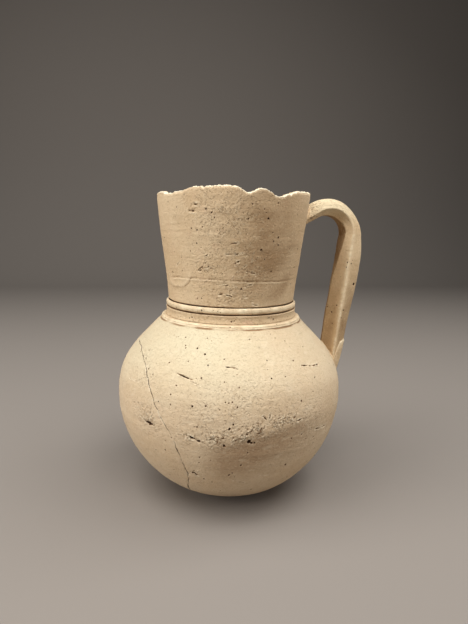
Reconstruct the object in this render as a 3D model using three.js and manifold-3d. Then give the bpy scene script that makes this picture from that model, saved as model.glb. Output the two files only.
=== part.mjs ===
// Ewer of unglazed buff earthenware: a round body thrown in two halves, a flaring neck whose rim is
// broken, a turned collar over the neck joint and a pulled handle with a wad of clay at each end.
// Millimetres, +Z up. The pot turns about the Z axis, stands on z = 0 and its handle points along +X.
import * as THREE from 'three';
import { mergeVertices } from 'three/addons/utils/BufferGeometryUtils.js';
import Module from 'manifold-3d';

// Body: the two halves meet at the widest line, the belly
const BASE_RADIUS = 20;
const BASE_THICKNESS = 7;
const BELLY_RADIUS = 61.8;
const BELLY_HEIGHT = 57;
const SHOULDER_HEIGHT = 40.4;
const SHOULDER_SLOPE = THREE.MathUtils.degToRad(45);
const BODY_WALL = 4.5;
const MOUTH_THICKNESS = 5;

// Fullness of the shoulder curve: how far it holds the belly's upright and the shoulder's slope
const BELLY_HOLD = 18;
const SHOULDER_HOLD = 24;

// Film of slip between two pieces that are luted together
const SLIP = 0.3;

// Neck: the foot is stepped in to take the collar, the wall thins towards the rim
const NECK_HEIGHT = 57.8;
const NECK_FOOT_RADIUS = 34.4;
const NECK_FOOT_WALL = 5;
const NECK_FOOT_STEP = 1.4;
const RIM_RADIUS = 41.1;
const RIM_WALL = 3.4;
const NECK_FOOT_FLARE = THREE.MathUtils.degToRad(4.3);
const RIM_FLARE = THREE.MathUtils.degToRad(3.4);

// Chips out of the rim: azimuth from the handle, half width in degrees, depth below the rim
const CHIPS = [
  { at: -152, halfWidth: 28, depth: 3.4 },
  { at: -90.5, halfWidth: 9, depth: 3 },
  { at: -68.4, halfWidth: 19, depth: 4.2 },
  { at: 27, halfWidth: 15, depth: 2.2 },
  { at: 62, halfWidth: 21, depth: 3.6 },
  { at: 101, halfWidth: 13, depth: 2 },
  { at: 136, halfWidth: 24, depth: 3.1 },
  { at: 181, halfWidth: 16, depth: 2.6 },
];
const CHIP_ROUNDING = 1.4;

// Collar, from its foot on the shoulder upwards: fillet, plain hollow band, incised line, bead
const FILLET_HEIGHT = 1.8;
const BAND_HEIGHT = 5.3;
const BEAD_HEIGHT = 3;
const COLLAR_SPREAD = 3.9;
const FILLET_SETBACK = 0.9;
const BAND_SPREAD = 1.5;
const BAND_HOLLOW = 0.35;
const BEAD_SPREAD = 1.4;
const LINE_DEPTH = 0.6;
const LINE_WIDTH = 0.8;

// Handle: a root on the neck, an arch and a limb down to the shoulder
const ARCH_RADIUS = 13.3;
const ARCH_DROP = 21;
const ROOT_DROP = 14;
const ROOT_RUN = 2.1;
const FOOT_RISE = 15;
const HANDLE_HALF_WIDTH = 7.5;
const FOOT_SPREAD = 1;
const ROOT_INNER = 2.6;
const LIMB_INNER = 4;
const INNER_FLAT = 4.2;
const ARCH_FLAT = 5.4;
const FLAT_END = 0.9;
const FLAT_RUNOUT = 30;
const ARCH_OUTER = 5.5;
const LIMB_OUTER = 10;
const LIMB_SWELL = 14;
const FOOT_OUTER = 8;
const FOOT_TIP_OUTER = 2;
const FOOT_TAPER = 12;

// Wads of clay worked round the handle's ends
const WAD_SPREAD = 2.6;
const WAD_TAIL = 4;
const WAD_RISE = 2.6;
const WAD_SINK = 3.4;

// Facets round the pot, along the curves and round a handle section's crest
const FACETS = 48;
const RIM_FACETS = 120;
const CURVE_STEPS = 10;
const HANDLE_STEPS = 40;
const CREST_STEPS = 8;
const WAD_FACETS = 20;

// Levels and radii that pieces share
const COLLAR_FOOT_Z = BELLY_HEIGHT + SHOULDER_HEIGHT;
const COLLAR_TOP_Z = COLLAR_FOOT_Z + FILLET_HEIGHT + BAND_HEIGHT + BEAD_HEIGHT;
const RIM_Z = COLLAR_TOP_Z + NECK_HEIGHT;
const COLLAR_RADIUS = NECK_FOOT_RADIUS + COLLAR_SPREAD;
const STUB_RADIUS = NECK_FOOT_RADIUS - NECK_FOOT_STEP;
const BORE_RADIUS = NECK_FOOT_RADIUS - NECK_FOOT_WALL;

const wasm = await Module();
wasm.setup();

const at = (radius, height) => new THREE.Vector2(radius, height);

// Closed geometry to solid: shared vertices are merged and the slivers at the axis dropped
function toSolid(geometry) {
  geometry.deleteAttribute('normal');
  geometry.deleteAttribute('uv');
  const merged = mergeVertices(geometry);
  const corners = merged.index.array;
  const triangles = [];
  for (let i = 0; i < corners.length; i += 3) {
    const [a, b, c] = corners.slice(i, i + 3);
    if (a !== b && b !== c && c !== a) triangles.push(a, b, c);
  }
  return new wasm.Manifold(new wasm.Mesh({
    numProp: 3,
    vertProperties: new Float32Array(merged.attributes.position.array),
    triVerts: new Uint32Array(triangles),
  }));
}

function toGeometry(solid) {
  const mesh = solid.getMesh();
  const geometry = new THREE.BufferGeometry();
  geometry.setAttribute('position', new THREE.BufferAttribute(mesh.vertProperties, 3));
  geometry.setIndex(new THREE.BufferAttribute(mesh.triVerts, 1));
  geometry.computeVertexNormals();
  return geometry;
}

// Outline of radius and height turned about Z: it runs up the outside and down the inside
function turnedGeometry(outline, facets) {
  return new THREE.LatheGeometry(outline, facets).rotateX(Math.PI / 2);
}

const turned = (outline) => toSolid(turnedGeometry(outline, FACETS));

// An open outline moved sideways: outwards for a positive distance, inwards for a negative one
function offset(outline, distance) {
  return outline.map((point, i) => {
    const before = outline[Math.max(i - 1, 0)];
    const after = outline[Math.min(i + 1, outline.length - 1)];
    const along = after.clone().sub(before).normalize();
    return at(point.x + along.y * distance, point.y - along.x * distance);
  });
}

// Radius of an outline at a height, between its points
function radiusAt(outline, height) {
  const above = outline.findIndex((point, i) => i > 0 && point.y >= height);
  const upper = outline[above < 0 ? outline.length - 1 : above];
  const lower = outline[(above < 0 ? outline.length - 1 : above) - 1];
  return THREE.MathUtils.mapLinear(height, lower.y, upper.y, lower.x, upper.x);
}

// Arc of the lower half: upright at the belly and through the edge of the base
const arcCentre = (BELLY_RADIUS ** 2 - BASE_RADIUS ** 2 - BELLY_HEIGHT ** 2)
  / (2 * (BELLY_RADIUS - BASE_RADIUS));

function bowlArc(radius, floor) {
  const start = -Math.asin((BELLY_HEIGHT - floor) / radius);
  return new THREE.EllipseCurve(arcCentre, BELLY_HEIGHT, radius, radius, start, 0).getPoints(CURVE_STEPS);
}

const bowlOutline = bowlArc(BELLY_RADIUS - arcCentre, 0);
const bowlInside = bowlArc(BELLY_RADIUS - arcCentre - BODY_WALL, BASE_THICKNESS);

// Curve of the shoulder: upright at the belly, at its slope under the collar
const shoulderOutline = new THREE.CubicBezierCurve(
  at(BELLY_RADIUS, BELLY_HEIGHT),
  at(BELLY_RADIUS, BELLY_HEIGHT + BELLY_HOLD),
  at(COLLAR_RADIUS + SHOULDER_HOLD * Math.cos(SHOULDER_SLOPE),
    COLLAR_FOOT_Z - SHOULDER_HOLD * Math.sin(SHOULDER_SLOPE)),
  at(COLLAR_RADIUS, COLLAR_FOOT_Z),
).getPoints(CURVE_STEPS);

// Outside of the neck, from the collar to the rim
const neckOutline = new THREE.CubicBezierCurve(
  at(NECK_FOOT_RADIUS, COLLAR_TOP_Z + SLIP),
  at(NECK_FOOT_RADIUS + NECK_HEIGHT / 3 * Math.tan(NECK_FOOT_FLARE), COLLAR_TOP_Z + NECK_HEIGHT / 3),
  at(RIM_RADIUS - NECK_HEIGHT / 3 * Math.tan(RIM_FLARE), RIM_Z - NECK_HEIGHT / 3),
  at(RIM_RADIUS, RIM_Z),
).getPoints(CURVE_STEPS);

// Bowl with a flat base, open at the belly
function lowerBody() {
  return turned([
    at(0, 0),
    ...bowlOutline.slice(0, -1),
    at(BELLY_RADIUS, BELLY_HEIGHT - SLIP / 2),
    at(BELLY_RADIUS - BODY_WALL, BELLY_HEIGHT - SLIP / 2),
    ...bowlInside.slice(0, -1).reverse(),
    at(0, BASE_THICKNESS),
  ]);
}

// Shoulder dome, open at the belly, with a flat seat for the neck and its collar round the mouth
function upperBody() {
  const outline = [
    at(BELLY_RADIUS, BELLY_HEIGHT + SLIP / 2),
    ...shoulderOutline.slice(1),
    at(BORE_RADIUS, COLLAR_FOOT_Z),
    at(BORE_RADIUS, COLLAR_FOOT_Z - MOUTH_THICKNESS),
    ...offset(shoulderOutline, -BODY_WALL).slice(1, -1).reverse(),
    at(BELLY_RADIUS - BODY_WALL, BELLY_HEIGHT + SLIP / 2),
  ];
  return turned([...outline, outline[0]]);
}

// Ring that covers the neck joint: its underside lies on the seat, its bore on the neck's foot
function neckCollar() {
  const foot = COLLAR_FOOT_Z + SLIP;
  const bore = STUB_RADIUS + SLIP;
  const bandFoot = COLLAR_FOOT_Z + FILLET_HEIGHT;
  const bandTop = bandFoot + BAND_HEIGHT;
  const bandRadius = NECK_FOOT_RADIUS + BAND_SPREAD;
  const lineRadius = bandRadius - LINE_DEPTH;
  const beadFoot = bandTop + LINE_WIDTH / 2;
  const bead = new THREE.EllipseCurve(lineRadius, (beadFoot + COLLAR_TOP_Z) / 2,
    NECK_FOOT_RADIUS + BEAD_SPREAD - lineRadius, (COLLAR_TOP_Z - beadFoot) / 2, -Math.PI / 2, Math.PI / 2);
  const fillet = new THREE.QuadraticBezierCurve(at(COLLAR_RADIUS, foot),
    at(COLLAR_RADIUS - FILLET_SETBACK / 3, bandFoot), at(COLLAR_RADIUS - FILLET_SETBACK, bandFoot));
  const outline = [
    ...fillet.getPoints(3),
    at(bandRadius, bandFoot),
    at(bandRadius - BAND_HOLLOW, (bandFoot + bandTop) / 2),
    at(bandRadius, bandTop - LINE_WIDTH / 2),
    ...bead.getPoints(6),
    at(bore, COLLAR_TOP_Z),
    at(bore, foot),
  ];
  return turned([...outline, outline[0]]);
}

// Depth of the broken edge below the rim at an azimuth in degrees
function chipDepth(azimuth) {
  const depths = CHIPS.map((chip) => {
    const away = Math.abs(THREE.MathUtils.euclideanModulo(azimuth - chip.at + 180, 360) - 180);
    return chip.depth * (1 - Math.min(away / chip.halfWidth, 1) ** CHIP_ROUNDING);
  });
  return Math.max(...depths);
}

// What is lost above the broken edge: a disc whose underside follows the chips
function lostRim() {
  const reach = RIM_RADIUS + NECK_FOOT_WALL;
  const top = RIM_Z + NECK_FOOT_WALL;
  const geometry = turnedGeometry([
    at(0, RIM_Z),
    at(BORE_RADIUS / 2, RIM_Z),
    at(reach, RIM_Z),
    at(reach, top),
    at(0, top),
  ], RIM_FACETS);
  const places = geometry.attributes.position;
  for (let i = 0; i < places.count; i++) {
    const [x, y, z] = [places.getX(i), places.getY(i), places.getZ(i)];
    const onUnderside = z < (RIM_Z + top) / 2 && Math.hypot(x, y) > BORE_RADIUS / 4;
    if (onUnderside) places.setZ(i, z - chipDepth(THREE.MathUtils.radToDeg(Math.atan2(y, x))));
  }
  return toSolid(geometry);
}

// Flaring tube, made a little too tall and then broken off along the chips
function neck() {
  const inside = neckOutline.map((point) => {
    const wall = THREE.MathUtils.mapLinear(point.y, COLLAR_TOP_Z, RIM_Z, NECK_FOOT_WALL, RIM_WALL);
    return at(point.x - wall, point.y);
  });
  const spare = at(Math.tan(RIM_FLARE), 1).multiplyScalar(RIM_WALL / 2);
  const outline = [
    at(STUB_RADIUS, COLLAR_FOOT_Z + SLIP),
    at(STUB_RADIUS, COLLAR_TOP_Z + SLIP),
    ...neckOutline,
    neckOutline.at(-1).clone().add(spare),
    inside.at(-1).clone().add(spare),
    ...inside.reverse(),
    at(BORE_RADIUS, COLLAR_FOOT_Z + SLIP),
  ];
  return turned([...outline, outline[0]]).subtract(lostRim());
}

// Middle line of the handle in the plane of radius and height: straight from the neck to the arch,
// round the arch, and straight down to the shoulder, each straight tangent to the arch
function handlePath() {
  const archZ = RIM_Z - ARCH_DROP;
  const centre = at(radiusAt(neckOutline, archZ) + ROOT_RUN + ARCH_RADIUS, archZ);
  const root = at(radiusAt(neckOutline, RIM_Z - ROOT_DROP), RIM_Z - ROOT_DROP);
  const footZ = BELLY_HEIGHT + FOOT_RISE;
  const foot = at(radiusAt(shoulderOutline, footZ), footZ);
  const tangentAngle = (point, side) => {
    const away = point.clone().sub(centre);
    return Math.atan2(away.y, away.x) + side * Math.acos(ARCH_RADIUS / away.length());
  };
  const onArch = (angle) => at(Math.cos(angle), Math.sin(angle)).multiplyScalar(ARCH_RADIUS).add(centre);
  const past = (from, to, distance) => to.clone().add(to.clone().sub(from).setLength(distance));
  const rootAngle = tangentAngle(root, -1);
  const footAngle = tangentAngle(foot, 1);
  const start = past(onArch(rootAngle), root, LIMB_INNER + ARCH_OUTER);
  const end = past(onArch(footAngle), foot, FOOT_TAPER);
  const path = new THREE.Path();
  path.moveTo(start.x, start.y);
  path.lineTo(onArch(rootAngle).x, onArch(rootAngle).y);
  path.absarc(centre.x, centre.y, ARCH_RADIUS, rootAngle, footAngle, true);
  path.lineTo(end.x, end.y);
  const rootLength = onArch(rootAngle).distanceTo(start);
  const archLength = ARCH_RADIUS * (rootAngle - footAngle);
  return { path, crown: rootLength + archLength / 2, springing: rootLength + archLength };
}

// Stations along the handle: place, outward direction and the sizes of the section there
function handleStations() {
  const { path, crown, springing } = handlePath();
  const length = path.getLength();
  return Array.from({ length: HANDLE_STEPS + 1 }, (_, i) => {
    const along = length * i / HANDLE_STEPS;
    const heading = path.getTangentAt(i / HANDLE_STEPS);
    const thickening = THREE.MathUtils.smoothstep(along, crown, springing + LIMB_SWELL);
    const thinning = THREE.MathUtils.smoothstep(along, springing + LIMB_SWELL, length - FOOT_TAPER);
    const taper = Math.min(Math.max((along - length + 2 * FOOT_TAPER) / (2 * FOOT_TAPER), 0), 1);
    const swollen = THREE.MathUtils.lerp(ARCH_OUTER, LIMB_OUTER, thickening);
    const limb = THREE.MathUtils.lerp(swollen, FOOT_OUTER, thinning);
    const runningOut = THREE.MathUtils.smoothstep(along, springing, springing + FLAT_RUNOUT);
    return {
      place: path.getPointAt(i / HANDLE_STEPS),
      outward: at(-heading.y, heading.x),
      outer: FOOT_TIP_OUTER + (limb - FOOT_TIP_OUTER) * Math.sqrt(1 - taper ** 2),
      inner: THREE.MathUtils.lerp(ROOT_INNER, LIMB_INNER, THREE.MathUtils.smoothstep(along, 0, crown)),
      halfWidth: HANDLE_HALF_WIDTH + FOOT_SPREAD * taper,
      flatFront: THREE.MathUtils.lerp(-ARCH_FLAT, INNER_FLAT - FLAT_END, runningOut),
    };
  });
}

const stations = handleStations();

// Edge of the handle in its own plane, a distance outwards from the middle line at each station
const handleEdge = (distance) => stations.map(
  (station) => station.place.clone().addScaledVector(station.outward, distance(station)),
);

// Loft of the handle: a round crest outside, two ridges at the sides and a flat towards the pot, which
// runs out to the back down the limb, so that the face in front of it widens
function handleLoft(clearance) {
  const rings = stations.map(({ place, outward, outer, inner, halfWidth, flatFront }) => {
    const section = [];
    for (let k = 0; k <= CREST_STEPS; k++) {
      const angle = Math.PI * k / CREST_STEPS;
      section.push(at((halfWidth + clearance) * Math.cos(angle), (outer + clearance) * Math.sin(angle)));
    }
    section.push(at(flatFront - clearance, -inner - clearance));
    section.push(at(INNER_FLAT + clearance, -inner - clearance));
    const inSpace = ({ x, y }) => new THREE.Vector3(place.x + outward.x * y, x, place.y + outward.y * y);
    return section.map(inSpace);
  });
  return loft(rings);
}

// Solid through rings of equal count, capped at both ends
function loft(rings) {
  const count = rings[0].length;
  const last = (rings.length - 1) * count;
  const triangles = [];
  for (let i = 0; i < rings.length - 1; i++) {
    for (let j = 0; j < count; j++) {
      const [a, b] = [i * count + j, i * count + (j + 1) % count];
      triangles.push(a, b, a + count, b, b + count, a + count);
    }
  }
  for (let j = 1; j < count - 1; j++) {
    triangles.push(0, j + 1, j, last, last + j, last + j + 1);
  }
  const geometry = new THREE.BufferGeometry().setFromPoints(rings.flat());
  geometry.setIndex(triangles);
  return toSolid(geometry);
}

// The pot as one filled block, larger by the film of slip, that cuts what is luted to it
const potBlock = turned([
  at(0, -SLIP),
  ...offset([...bowlOutline, ...shoulderOutline.slice(1)], SLIP),
  ...offset(neckOutline, SLIP),
  at(0, RIM_Z),
]);

const handle = () => handleLoft(0).subtract(potBlock);

// Where an edge of the handle meets the wall, from the free side
function meeting(edge, wall) {
  const clear = edge.map((point) => point.x - radiusAt(wall, point.y));
  const i = clear.findIndex((gap, k) => k > 0 && (gap > 0) !== (clear[k - 1] > 0));
  return edge[i - 1].clone().lerp(edge[i], clear[i - 1] / (clear[i - 1] - clear[i]));
}

// Lens of clay on a wall of the pot, round the part of the handle that lies on it
function wad(wall, upper, lower, halfWidth) {
  const level = (upper.y + lower.y) / 2;
  const middle = at(radiusAt(wall, level), level);
  const lean = Math.atan2(upper.x - lower.x, upper.y - lower.y);
  const depth = WAD_SINK + WAD_RISE;
  const swell = 1 / Math.sqrt(1 - (WAD_SINK / depth) ** 2);
  const lens = new THREE.SphereGeometry(1, WAD_FACETS, WAD_FACETS / 2).rotateX(Math.PI / 2);
  lens.scale(depth, (halfWidth + WAD_SPREAD) * swell, (upper.distanceTo(lower) / 2 + WAD_TAIL) * swell);
  lens.rotateY(lean);
  lens.translate(middle.x - WAD_SINK * Math.cos(lean), 0, middle.y + WAD_SINK * Math.sin(lean));
  return toSolid(lens).subtract(potBlock).subtract(handleLoft(SLIP));
}

const outerEdge = handleEdge((station) => station.outer);
const innerEdge = handleEdge((station) => -station.inner);

function upperLuting() {
  const outer = meeting(outerEdge, neckOutline);
  const inner = meeting(innerEdge, neckOutline);
  return wad(neckOutline, outer, inner, HANDLE_HALF_WIDTH);
}

function lowerLuting() {
  const inner = meeting(innerEdge.toReversed(), shoulderOutline);
  const outer = meeting(outerEdge.toReversed(), shoulderOutline);
  return wad(shoulderOutline, inner, outer, HANDLE_HALF_WIDTH + FOOT_SPREAD);
}

function piece(name, solid, color) {
  const material = new THREE.MeshStandardMaterial({ color, roughness: 0.92, metalness: 0 });
  const mesh = new THREE.Mesh(toGeometry(solid), material);
  mesh.name = name;
  return mesh;
}

const THROWN_CLAY = 0xc9a980;
const NECK_CLAY = 0xc2a07a;
const HANDLE_CLAY = 0xd3b78f;

const ewer = new THREE.Group();
ewer.add(
  piece('lower_body', lowerBody(), THROWN_CLAY),
  piece('upper_body', upperBody(), THROWN_CLAY),
  piece('neck_collar', neckCollar(), NECK_CLAY),
  piece('neck', neck(), NECK_CLAY),
  piece('handle', handle(), HANDLE_CLAY),
  piece('handle_upper_luting', upperLuting(), HANDLE_CLAY),
  piece('handle_lower_luting', lowerLuting(), HANDLE_CLAY),
);

export default ewer;
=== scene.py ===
import bpy
import numpy as np
from mathutils import Matrix, Vector


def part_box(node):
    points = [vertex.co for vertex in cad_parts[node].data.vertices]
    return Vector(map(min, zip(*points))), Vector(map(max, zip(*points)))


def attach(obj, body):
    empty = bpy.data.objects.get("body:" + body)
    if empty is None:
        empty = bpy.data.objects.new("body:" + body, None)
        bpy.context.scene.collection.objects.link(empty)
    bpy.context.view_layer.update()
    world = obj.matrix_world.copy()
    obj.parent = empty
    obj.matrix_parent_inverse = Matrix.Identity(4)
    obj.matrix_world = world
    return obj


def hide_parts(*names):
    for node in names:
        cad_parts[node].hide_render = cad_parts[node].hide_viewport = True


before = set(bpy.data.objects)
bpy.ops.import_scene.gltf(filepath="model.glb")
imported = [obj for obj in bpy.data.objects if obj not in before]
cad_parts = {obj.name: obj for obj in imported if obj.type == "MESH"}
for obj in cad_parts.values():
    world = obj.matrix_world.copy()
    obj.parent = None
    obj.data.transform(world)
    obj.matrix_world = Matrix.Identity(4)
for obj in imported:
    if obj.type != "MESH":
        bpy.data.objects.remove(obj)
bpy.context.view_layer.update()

MM = 0.001


def span(node):
    """Lowest and highest corner of a CAD node, in millimetres."""
    return tuple(np.array(corner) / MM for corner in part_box(node))


# Sizes that the CAD's nodes give, in millimetres
dome_low, dome_high = span("upper_body")
BELLY_RADIUS, _, bowl_top = span("lower_body")[1]
BELLY_Z = (bowl_top + dome_low[2]) / 2
COLLAR_FOOT_Z = dome_high[2]
COLLAR_RADIUS, _, COLLAR_TOP_Z = span("neck_collar")[1]
RIM_RADIUS, _, RIM_Z = span("neck")[1]

# Sizes that no box shows
BASE_RADIUS = 20
BASE_THICKNESS = 7
BASE_ROUNDING = 3
BODY_WALL = 4.5
BELLY_HOLD = 18
SHOULDER_HOLD = 24
MOUTH_THICKNESS = 5
NECK_FOOT_RADIUS = 34.4
NECK_FOOT_WALL = 5
NECK_FOOT_STEP = 1.4
NECK_FOOT_FLARE = np.radians(4.3)
RIM_WALL = 3.4
RIM_FLARE = np.radians(3.4)
SEAT_RADIUS = 36
DOME_INSIDE_Z = 88
JOINT_HOLLOW = 0.15
BEVEL = 0.62

# Levels of the collar's parts: line between its low beads, hollow band, and round bead under the neck
BEADS_SPLIT_Z = COLLAR_FOOT_Z + 0.5
BAND_FOOT_Z = COLLAR_FOOT_Z + 1.75
BAND_TOP_Z = COLLAR_FOOT_Z + 5.75
BEAD_FOOT_Z = COLLAR_FOOT_Z + 6.45
BEAD_TOP_Z = COLLAR_TOP_Z - 0.6

# Broken edge of the neck: azimuth from the handle in degrees, and level
BREAK = np.array([
    (-170.5, 163.1), (-161.5, 163.0), (-158.9, 162.0), (-152.4, 162.0), (-148.5, 161.7), (-146.6, 162.4),
    (-140.7, 162.8), (-137.3, 163.0), (-132.7, 164.0), (-128.5, 164.5), (-125.7, 164.7), (-123.2, 164.8),
    (-122.5, 164.3), (-119, 164.7), (-115.3, 164.9), (-110, 165.1), (-103, 165.0), (-99, 164.6),
    (-96.1, 163.7), (-93.1, 162.4), (-90.5, 162.2), (-88.6, 162.8), (-86.4, 163.6), (-83.3, 164.3),
    (-80.1, 164.3), (-77.5, 163.5), (-74.5, 162.5), (-72.2, 161.4), (-68.4, 161.0), (-64.5, 161.5),
    (-60.8, 162.4), (-58, 162.5), (-57.2, 163.1), (-52.9, 163.6), (-51.9, 164.2), (-45.9, 164.4),
    (-38.7, 164.6), (-30.2, 164.5), (-20, 165.1), (0, 165.2), (13, 164.9), (20, 163.8), (27, 163.2),
    (35, 164.0), (43, 164.7), (52, 162.9), (62, 161.8), (71, 162.7), (83, 164.9), (92, 164.4),
    (101, 163.4), (110, 164.5), (117, 164.8), (126, 163.0), (136, 162.3), (147, 163.4), (160, 164.8),
    (168, 164.1), (175, 162.9), (183, 162.8),
])

# Handle: arch, limb and section
ARCH_RADIUS = 13.3
ARCH_DROP = 21
ROOT_DROP = 14
ROOT_RUN = 2.1
FOOT_RISE = 15
HALF_WIDTH = 7.5
FOOT_SPREAD = 1
ROOT_INNER = 2.6
LIMB_INNER = 4
INNER_FLAT = 4.2
CROWN_FLAT = 2.4
ARCH_FLAT = 5.4
FLAT_END = 0.9
FLAT_RUNOUT = 30
ARCH_OUTER = 5.5
LIMB_OUTER = 10
LIMB_SWELL = 14
FOOT_OUTER = 8
FOOT_TIP_OUTER = 2
FOOT_TAPER = 12
HANDLE_SINK = 1.5

# Azimuth that faces the camera: the columns of every turned piece crowd there
FRONT = np.radians(-102)
CROWDING = 0.5
BODY_COLUMNS = 560
NECK_COLUMNS = 500

# Distance between the rows of the turned pieces, and the grid of the handle
BASE_PITCH = 1.0
BOWL_PITCH = 0.48
BOWL_PITCH_FROM_Z = 14
SHOULDER_PITCH = 0.38
COLLAR_PITCH = 0.22
INSIDE_PITCH = 3.0
HANDLE_ROWS = 300
HANDLE_COLUMNS = 120

# Finger rings inside: distance from ring to ring, height, and seeds, of which the body's halves share one
RING_PITCH = 6.5
RING_HEIGHT = 0.35
BODY_RING_SEED = 51
NECK_RING_SEED = 55

# Factors on points that draw noise out round the pot, into the long lines that the wheel leaves
TURNING = (0.06, 0.06, 1)

# Angle between two faces from which their edge is shown sharp
CREASE = np.radians(62)

# Distance of what lies far from the crack, and far from the rim of a pit or a cut
NO_CRACK = 4.0
NO_RIM = 1.5


# Noise and small helpers

def hashed(cells, seed):
    """Three values from -1 to 1 for each lattice cell, mixed from its whole numbers by multiplication."""
    keys = np.array([0x9E3779B185EBCA87, 0xC2B2AE3D27D4EB4F, 0x165667B19E3779F9], np.uint64)
    mixed = (cells.astype(np.int64).astype(np.uint64) * keys).sum(-1) + np.uint64(seed * 7919 + 1)
    mixed ^= mixed >> np.uint64(31)
    mixed *= np.uint64(0xBF58476D1CE4E5B9)
    mixed ^= mixed >> np.uint64(29)
    parts = [(mixed >> np.uint64(shift)) & np.uint64(0xFFFF) for shift in (3, 21, 41)]
    return np.stack(parts, -1) / 32767.5 - 1


def noise(points, size, seed):
    """Gradient noise: lattice slopes, blended by 6f^5 - 15f^4 + 10f^3; size is a cell in millimetres."""
    scaled = points / size
    cells = np.floor(scaled)
    inside = scaled - cells
    blend = inside ** 3 * (inside * (inside * 6 - 15) + 10)
    total = 0
    for corner in np.ndindex(2, 2, 2):
        weight = np.where(np.array(corner, bool), blend, 1 - blend).prod(-1)
        total = total + weight * (hashed(cells + corner, seed) * (inside - corner)).sum(-1)
    return total * 1.4


def layered(points, *layers):
    """Sum of noises, each given by its height, size and seed."""
    return sum(height * noise(points, size, seed) for height, size, seed in layers)


def smooth(low, high, value):
    """3t^2 - 2t^3 with t running from 0 to 1 between low and high."""
    t = np.clip((value - low) / (high - low), 0, 1)
    return t * t * (3 - 2 * t)


def bell(value, width):
    """exp(-(value / width)^2)."""
    return np.exp(-(value / width) ** 2)


def evenly(outline, step):
    """Points of an open outline at even steps of its length."""
    along = np.concatenate([[0], np.cumsum(np.linalg.norm(np.diff(outline, axis=0), axis=1))])
    wanted = np.linspace(0, along[-1], max(int(round(along[-1] / step)), 1) + 1)
    return np.stack([np.interp(wanted, along, outline[:, k]) for k in (0, 1)], 1)


def bezier(*points, count=240):
    """Cubic curve (1-t)^3 a + 3(1-t)^2 t b + 3(1-t) t^2 c + t^3 d."""
    t = np.linspace(0, 1, count)[:, None]
    a, b, c, d = (np.array(p, float) for p in points)
    return (1 - t) ** 3 * a + 3 * (1 - t) ** 2 * t * b + 3 * (1 - t) * t ** 2 * c + t ** 3 * d


def sideways(outline):
    """Unit normals of an outline of radius and height, to its right as it runs."""
    along = np.gradient(outline, axis=0)
    normal = np.stack([along[:, 1], -along[:, 0]], 1)
    return normal / np.linalg.norm(normal, axis=1)[:, None]


def azimuths(count):
    """Columns round the axis, FRONT + a - CROWDING sin a, so that they are closest at the front."""
    a = np.linspace(-np.pi, np.pi, count, endpoint=False)
    return FRONT + a - CROWDING * np.sin(a)


def polar(radius, angle, z):
    """Points (r cos a, r sin a, z)."""
    return np.stack(np.broadcast_arrays(radius * np.cos(angle), radius * np.sin(angle), z), -1)


def bearing(points):
    """Azimuth of points from the handle."""
    return np.arctan2(points[..., 1], points[..., 0])


def from_axis(points):
    """Distance of points from the axis."""
    return np.hypot(points[..., 0], points[..., 1])


def turned(outline, angles):
    """Points of an outline of radius and height turned about Z, rows by columns."""
    return polar(outline[:, :1], angles, outline[:, 1:])


def turned_normals(outline, angles):
    """Normals of a turned outline, rows by columns."""
    return turned(sideways(outline), angles)


# Outlines of radius and height

arc_centre = (BELLY_RADIUS ** 2 - BASE_RADIUS ** 2 - BELLY_Z ** 2) / (2 * (BELLY_RADIUS - BASE_RADIUS))


def bowl_arc(radius, floor):
    """Arc of the lower half, (c + R cos t, belly + R sin t), from the floor level up to the belly."""
    t = np.linspace(-np.arcsin((BELLY_Z - floor) / radius), 0, 240)
    return np.stack([arc_centre + radius * np.cos(t), BELLY_Z + radius * np.sin(t)], 1)


shoulder_reach = SHOULDER_HOLD * np.sqrt(0.5)
shoulder = bezier((BELLY_RADIUS, BELLY_Z), (BELLY_RADIUS, BELLY_Z + BELLY_HOLD),
                  (COLLAR_RADIUS + shoulder_reach, COLLAR_FOOT_Z - shoulder_reach),
                  (COLLAR_RADIUS, COLLAR_FOOT_Z))
bowl = bowl_arc(BELLY_RADIUS - arc_centre, 0)
bowl_inside = bowl_arc(BELLY_RADIUS - arc_centre - BODY_WALL, BASE_THICKNESS)
neck_third = (RIM_Z - COLLAR_TOP_Z) / 3
neck_side = bezier((NECK_FOOT_RADIUS, COLLAR_TOP_Z),
                   (NECK_FOOT_RADIUS + neck_third * np.tan(NECK_FOOT_FLARE), COLLAR_TOP_Z + neck_third),
                   (RIM_RADIUS - neck_third * np.tan(RIM_FLARE), RIM_Z - neck_third),
                   (RIM_RADIUS, RIM_Z))
BORE_RADIUS = NECK_FOOT_RADIUS - NECK_FOOT_WALL
STUB_RADIUS = NECK_FOOT_RADIUS - NECK_FOOT_STEP


def wall_radius(z):
    """Outer radius of the pot at a height."""
    side = np.concatenate([bowl[:-1], shoulder, neck_side])
    return np.interp(z, side[:, 1], side[:, 0])


def on_wall(places):
    """Points on the pot's undisturbed wall from rows of azimuth in degrees and height in millimetres."""
    azimuth, z = np.array(places, float).T
    return polar(wall_radius(z), np.radians(azimuth), z)


# Marks that wear and the potter's hand left, as azimuth in degrees and height in millimetres

CRACK = on_wall([
    (-178.5, 84.6), (-166, 84), (-156.4, 81.5), (-148, 77.7), (-142.3, 71.7), (-138.9, 67.5),
    (-135.7, 62.6), (-132.7, 58), (-129.5, 54.3), (-127.1, 50.3), (-125.4, 45.9), (-124, 40.7),
    (-122.5, 34.4), (-121.7, 28.5), (-122.7, 23.6), (-126.8, 16.6), (-131, 10),
])

# Loop of clay that was smeared on the neck
LOOP = on_wall([
    (-166, 117.6), (-164.3, 116.1), (-161.2, 115.3), (-150.8, 115.5), (-143.9, 116.4), (-139.1, 118),
    (-136.7, 120.2),
])

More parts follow.
